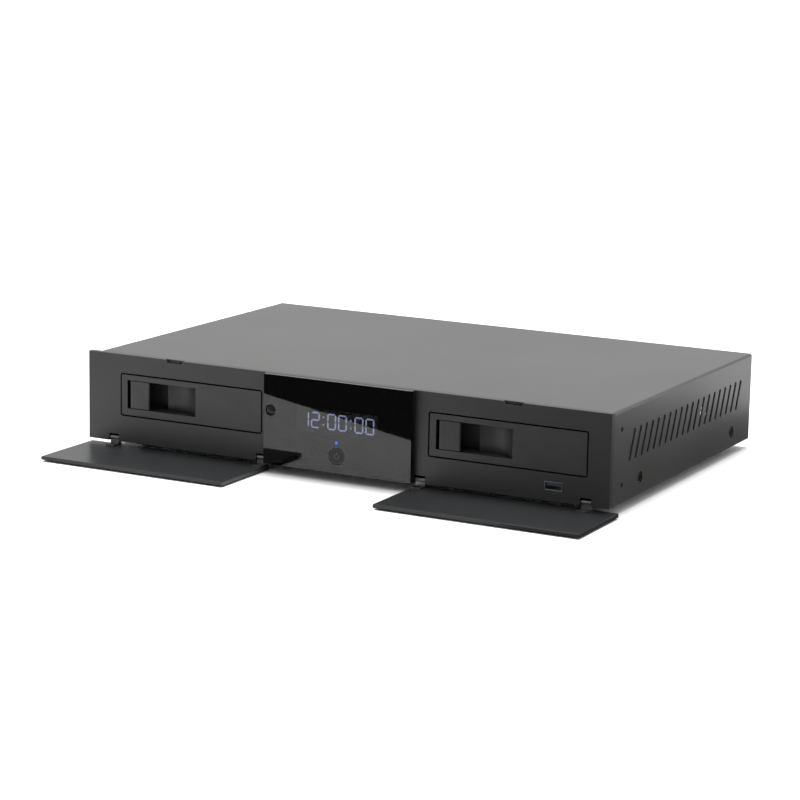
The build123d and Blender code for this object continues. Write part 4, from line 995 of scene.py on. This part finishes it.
def small_parts_pattern(finish):
    """Tiny blocks on a grid, some taken away and some turned by a quarter."""
    sizes = {"Columns": 8, "Rows": 10, "Pitch": 3.2 * MM, "Part": 1.6 * MM, "Missing": 0.35}
    shape = Pattern("small_parts", sizes)
    columns, rows, pitch, part, missing = shape.sizes()
    spread = {"Size X": columns * pitch, "Size Y": rows * pitch}
    grid = {**spread, "Vertices X": columns, "Vertices Y": rows}
    points = shape.add("GeometryNodeMeshGrid", {}, grid)
    chance = {"Probability": missing, "Seed": 7}
    gone = shape.add("FunctionNodeRandomValue", {"data_type": "BOOLEAN"}, chance)
    taken = {"Geometry": points, "Selection": gone}
    kept = shape.add("GeometryNodeDeleteGeometry", {"domain": "POINT"}, taken)
    either = {"Min": 0, "Max": 1, "Seed": 3}
    quarter = shape.add("FunctionNodeRandomValue", {"data_type": "INT"}, either)
    block = shape.block(part, 0.5 * part, 0.4 * part)
    standing = shape.moved(block, Translation=shape.vector(z=0.2 * part))
    turned = shape.vector(z=quarter * radians(90))
    shape.finish_with(shape.copied(kept, standing, Rotation=turned), finish)
    return shape


def on_board(spots):
    """Places on the main board's upper face, from millimetres in the plan."""
    return [Vector((x * MM, y * MM, board_top)) for x, y in spots]


chip_black = moulded("chip_black", (0.012, 0.012, 0.013), (0.4, 0.5), 2500.0, 0.15)
part_clay = moulded("part_clay", (0.16, 0.11, 0.07), (0.3, 0.4), 2500.0, 0.1)
legged_chip = chip_pattern(chip_black)
small_parts = small_parts_pattern(part_clay)
board_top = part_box("main_board")[1].z
chip_places = on_board([(-42, 96), (-42, 116), (-24, 96), (-24, 116), (104, 98), (104, 118), (10, 137)])
part_places = on_board([(5, 104), (122, 108)])
chip_seed = seed_points("chip_places", chip_places)
grown("main_board_chips", legged_chip, chip_seed, "chassis", "socket_black")
part_seed = seed_points("part_places", part_places)
grown("main_board_parts", small_parts, part_seed, "chassis", "switch_grey", Columns=6)

# %% [markdown]
# ## The floor, the sky and two dark cards
# The photograph has a white sweep and soft shadows, and the front and the side
# are darker than the top. So a pale floor stands under a white sky that dims
# towards the front right and brightens overhead, with one very soft sun high
# above. The sun is kept out of reflections, so it leaves no bright spot on paint
# or glass from any side. The glass mirrors the pale floor only up to a slanting
# line, and black beyond it: there the studio's paper ended. A dark card on the
# floor in front does the same, and a second one lies beside the case and darkens
# what its right side mirrors. Reflections alone see them, and they cast no shadow.

# %% Floor and cards


def floor_sheet(name, corners, finish):
    """A flat sheet that belongs to the studio and not to the object."""
    mesh = bpy.data.meshes.new(name)
    mesh.from_pydata(corners, [], [tuple(range(len(corners)))])
    mesh.materials.append(finish.material)
    sheet = bpy.data.objects.new(name, mesh)
    scene.collection.objects.link(sheet)
    return sheet


def rectangle(x_low, x_high, y_low, y_high, z):
    return [(x_low, y_low, z), (x_high, y_low, z), (x_high, y_high, z), (x_low, y_high, z)]


def pale_paper(name):
    finish = Finish(name)
    fibre = finish.grain(300.0, 3.0)
    finish.set(Base_Color=finish.blend(fibre, (0.88, 0.88, 0.88), (0.91, 0.91, 0.91)))
    finish.set(Roughness=finish.spread(fibre, 0.85, 0.95))
    finish.set(Specular_IOR_Level=0.1)
    return finish


def reflected_card(name, corners):
    """A dark sheet that only reflections see."""
    card = floor_sheet(name, corners, card_finish)
    card.visible_camera = False
    card.visible_diffuse = False
    card.visible_shadow = False
    card.visible_transmission = False


half_floor = 40.0
floor_corners = rectangle(-half_floor, half_floor, -half_floor, half_floor, 0)
floor_sheet("floor", floor_corners, pale_paper("pale_paper"))

card_finish = Finish("black_card")
card_finish.set(Base_Color=(0.035, 0.035, 0.035), Specular_IOR_Level=0.0, Roughness=1.0)
card_height = 0.4 * MM
along = Vector((camera_right.x, camera_right.y, 0)).normalized()
nearer = Vector((camera_back.x, camera_back.y, 0)).normalized()
edge_middle = Vector((-0.2098, -0.3648, card_height))
card_reach = 1.6
edge_left, edge_right = edge_middle - card_reach * along, edge_middle + card_reach * along
towards_camera = card_reach * nearer
front_corners = [edge_left, edge_left + towards_camera, edge_right + towards_camera, edge_right]
reflected_card("dark_card", front_corners)
reflected_card("side_card", rectangle(0.2160, 1.60, -0.30, 0.30, card_height))

# %% Sky and sun
world = bpy.data.worlds.new("white_sky")
scene.world = world
world.use_nodes = True
sky = Graph(world.node_tree)
background = world.node_tree.nodes["Background"]
from_where = sky.add("ShaderNodeTexCoord")["Generated"]
dark_corner = Vector((0.60, -0.76, 0.25)).normalized()
full_sky, corner_sky, overhead_extra = 0.96, 0.22, 0.7
around = sky.remap(sky.dot(from_where, dark_corner), 0.0, 0.9, full_sky, corner_sky)
height = sky.add("ShaderNodeSeparateXYZ", {}, {"Vector": from_where})["Z"]
overhead = sky.remap(height, 0.35, 0.9, 0.0, overhead_extra)
sky.give(background.inputs["Strength"], around + overhead)
sky.give(background.inputs["Color"], (1.0, 1.0, 1.0))

lamp = bpy.data.lights.new("high_sun", "SUN")
lamp.angle = radians(18)
lamp.energy = 3.0
high_sun = bpy.data.objects.new("high_sun", lamp)
sun_way = Vector((-0.06, 0.14, 1.0))
high_sun.rotation_euler = (-sun_way).to_track_quat("-Z", "Y").to_euler()
high_sun.visible_glossy = False
scene.collection.objects.link(high_sun)
print("studio ready")
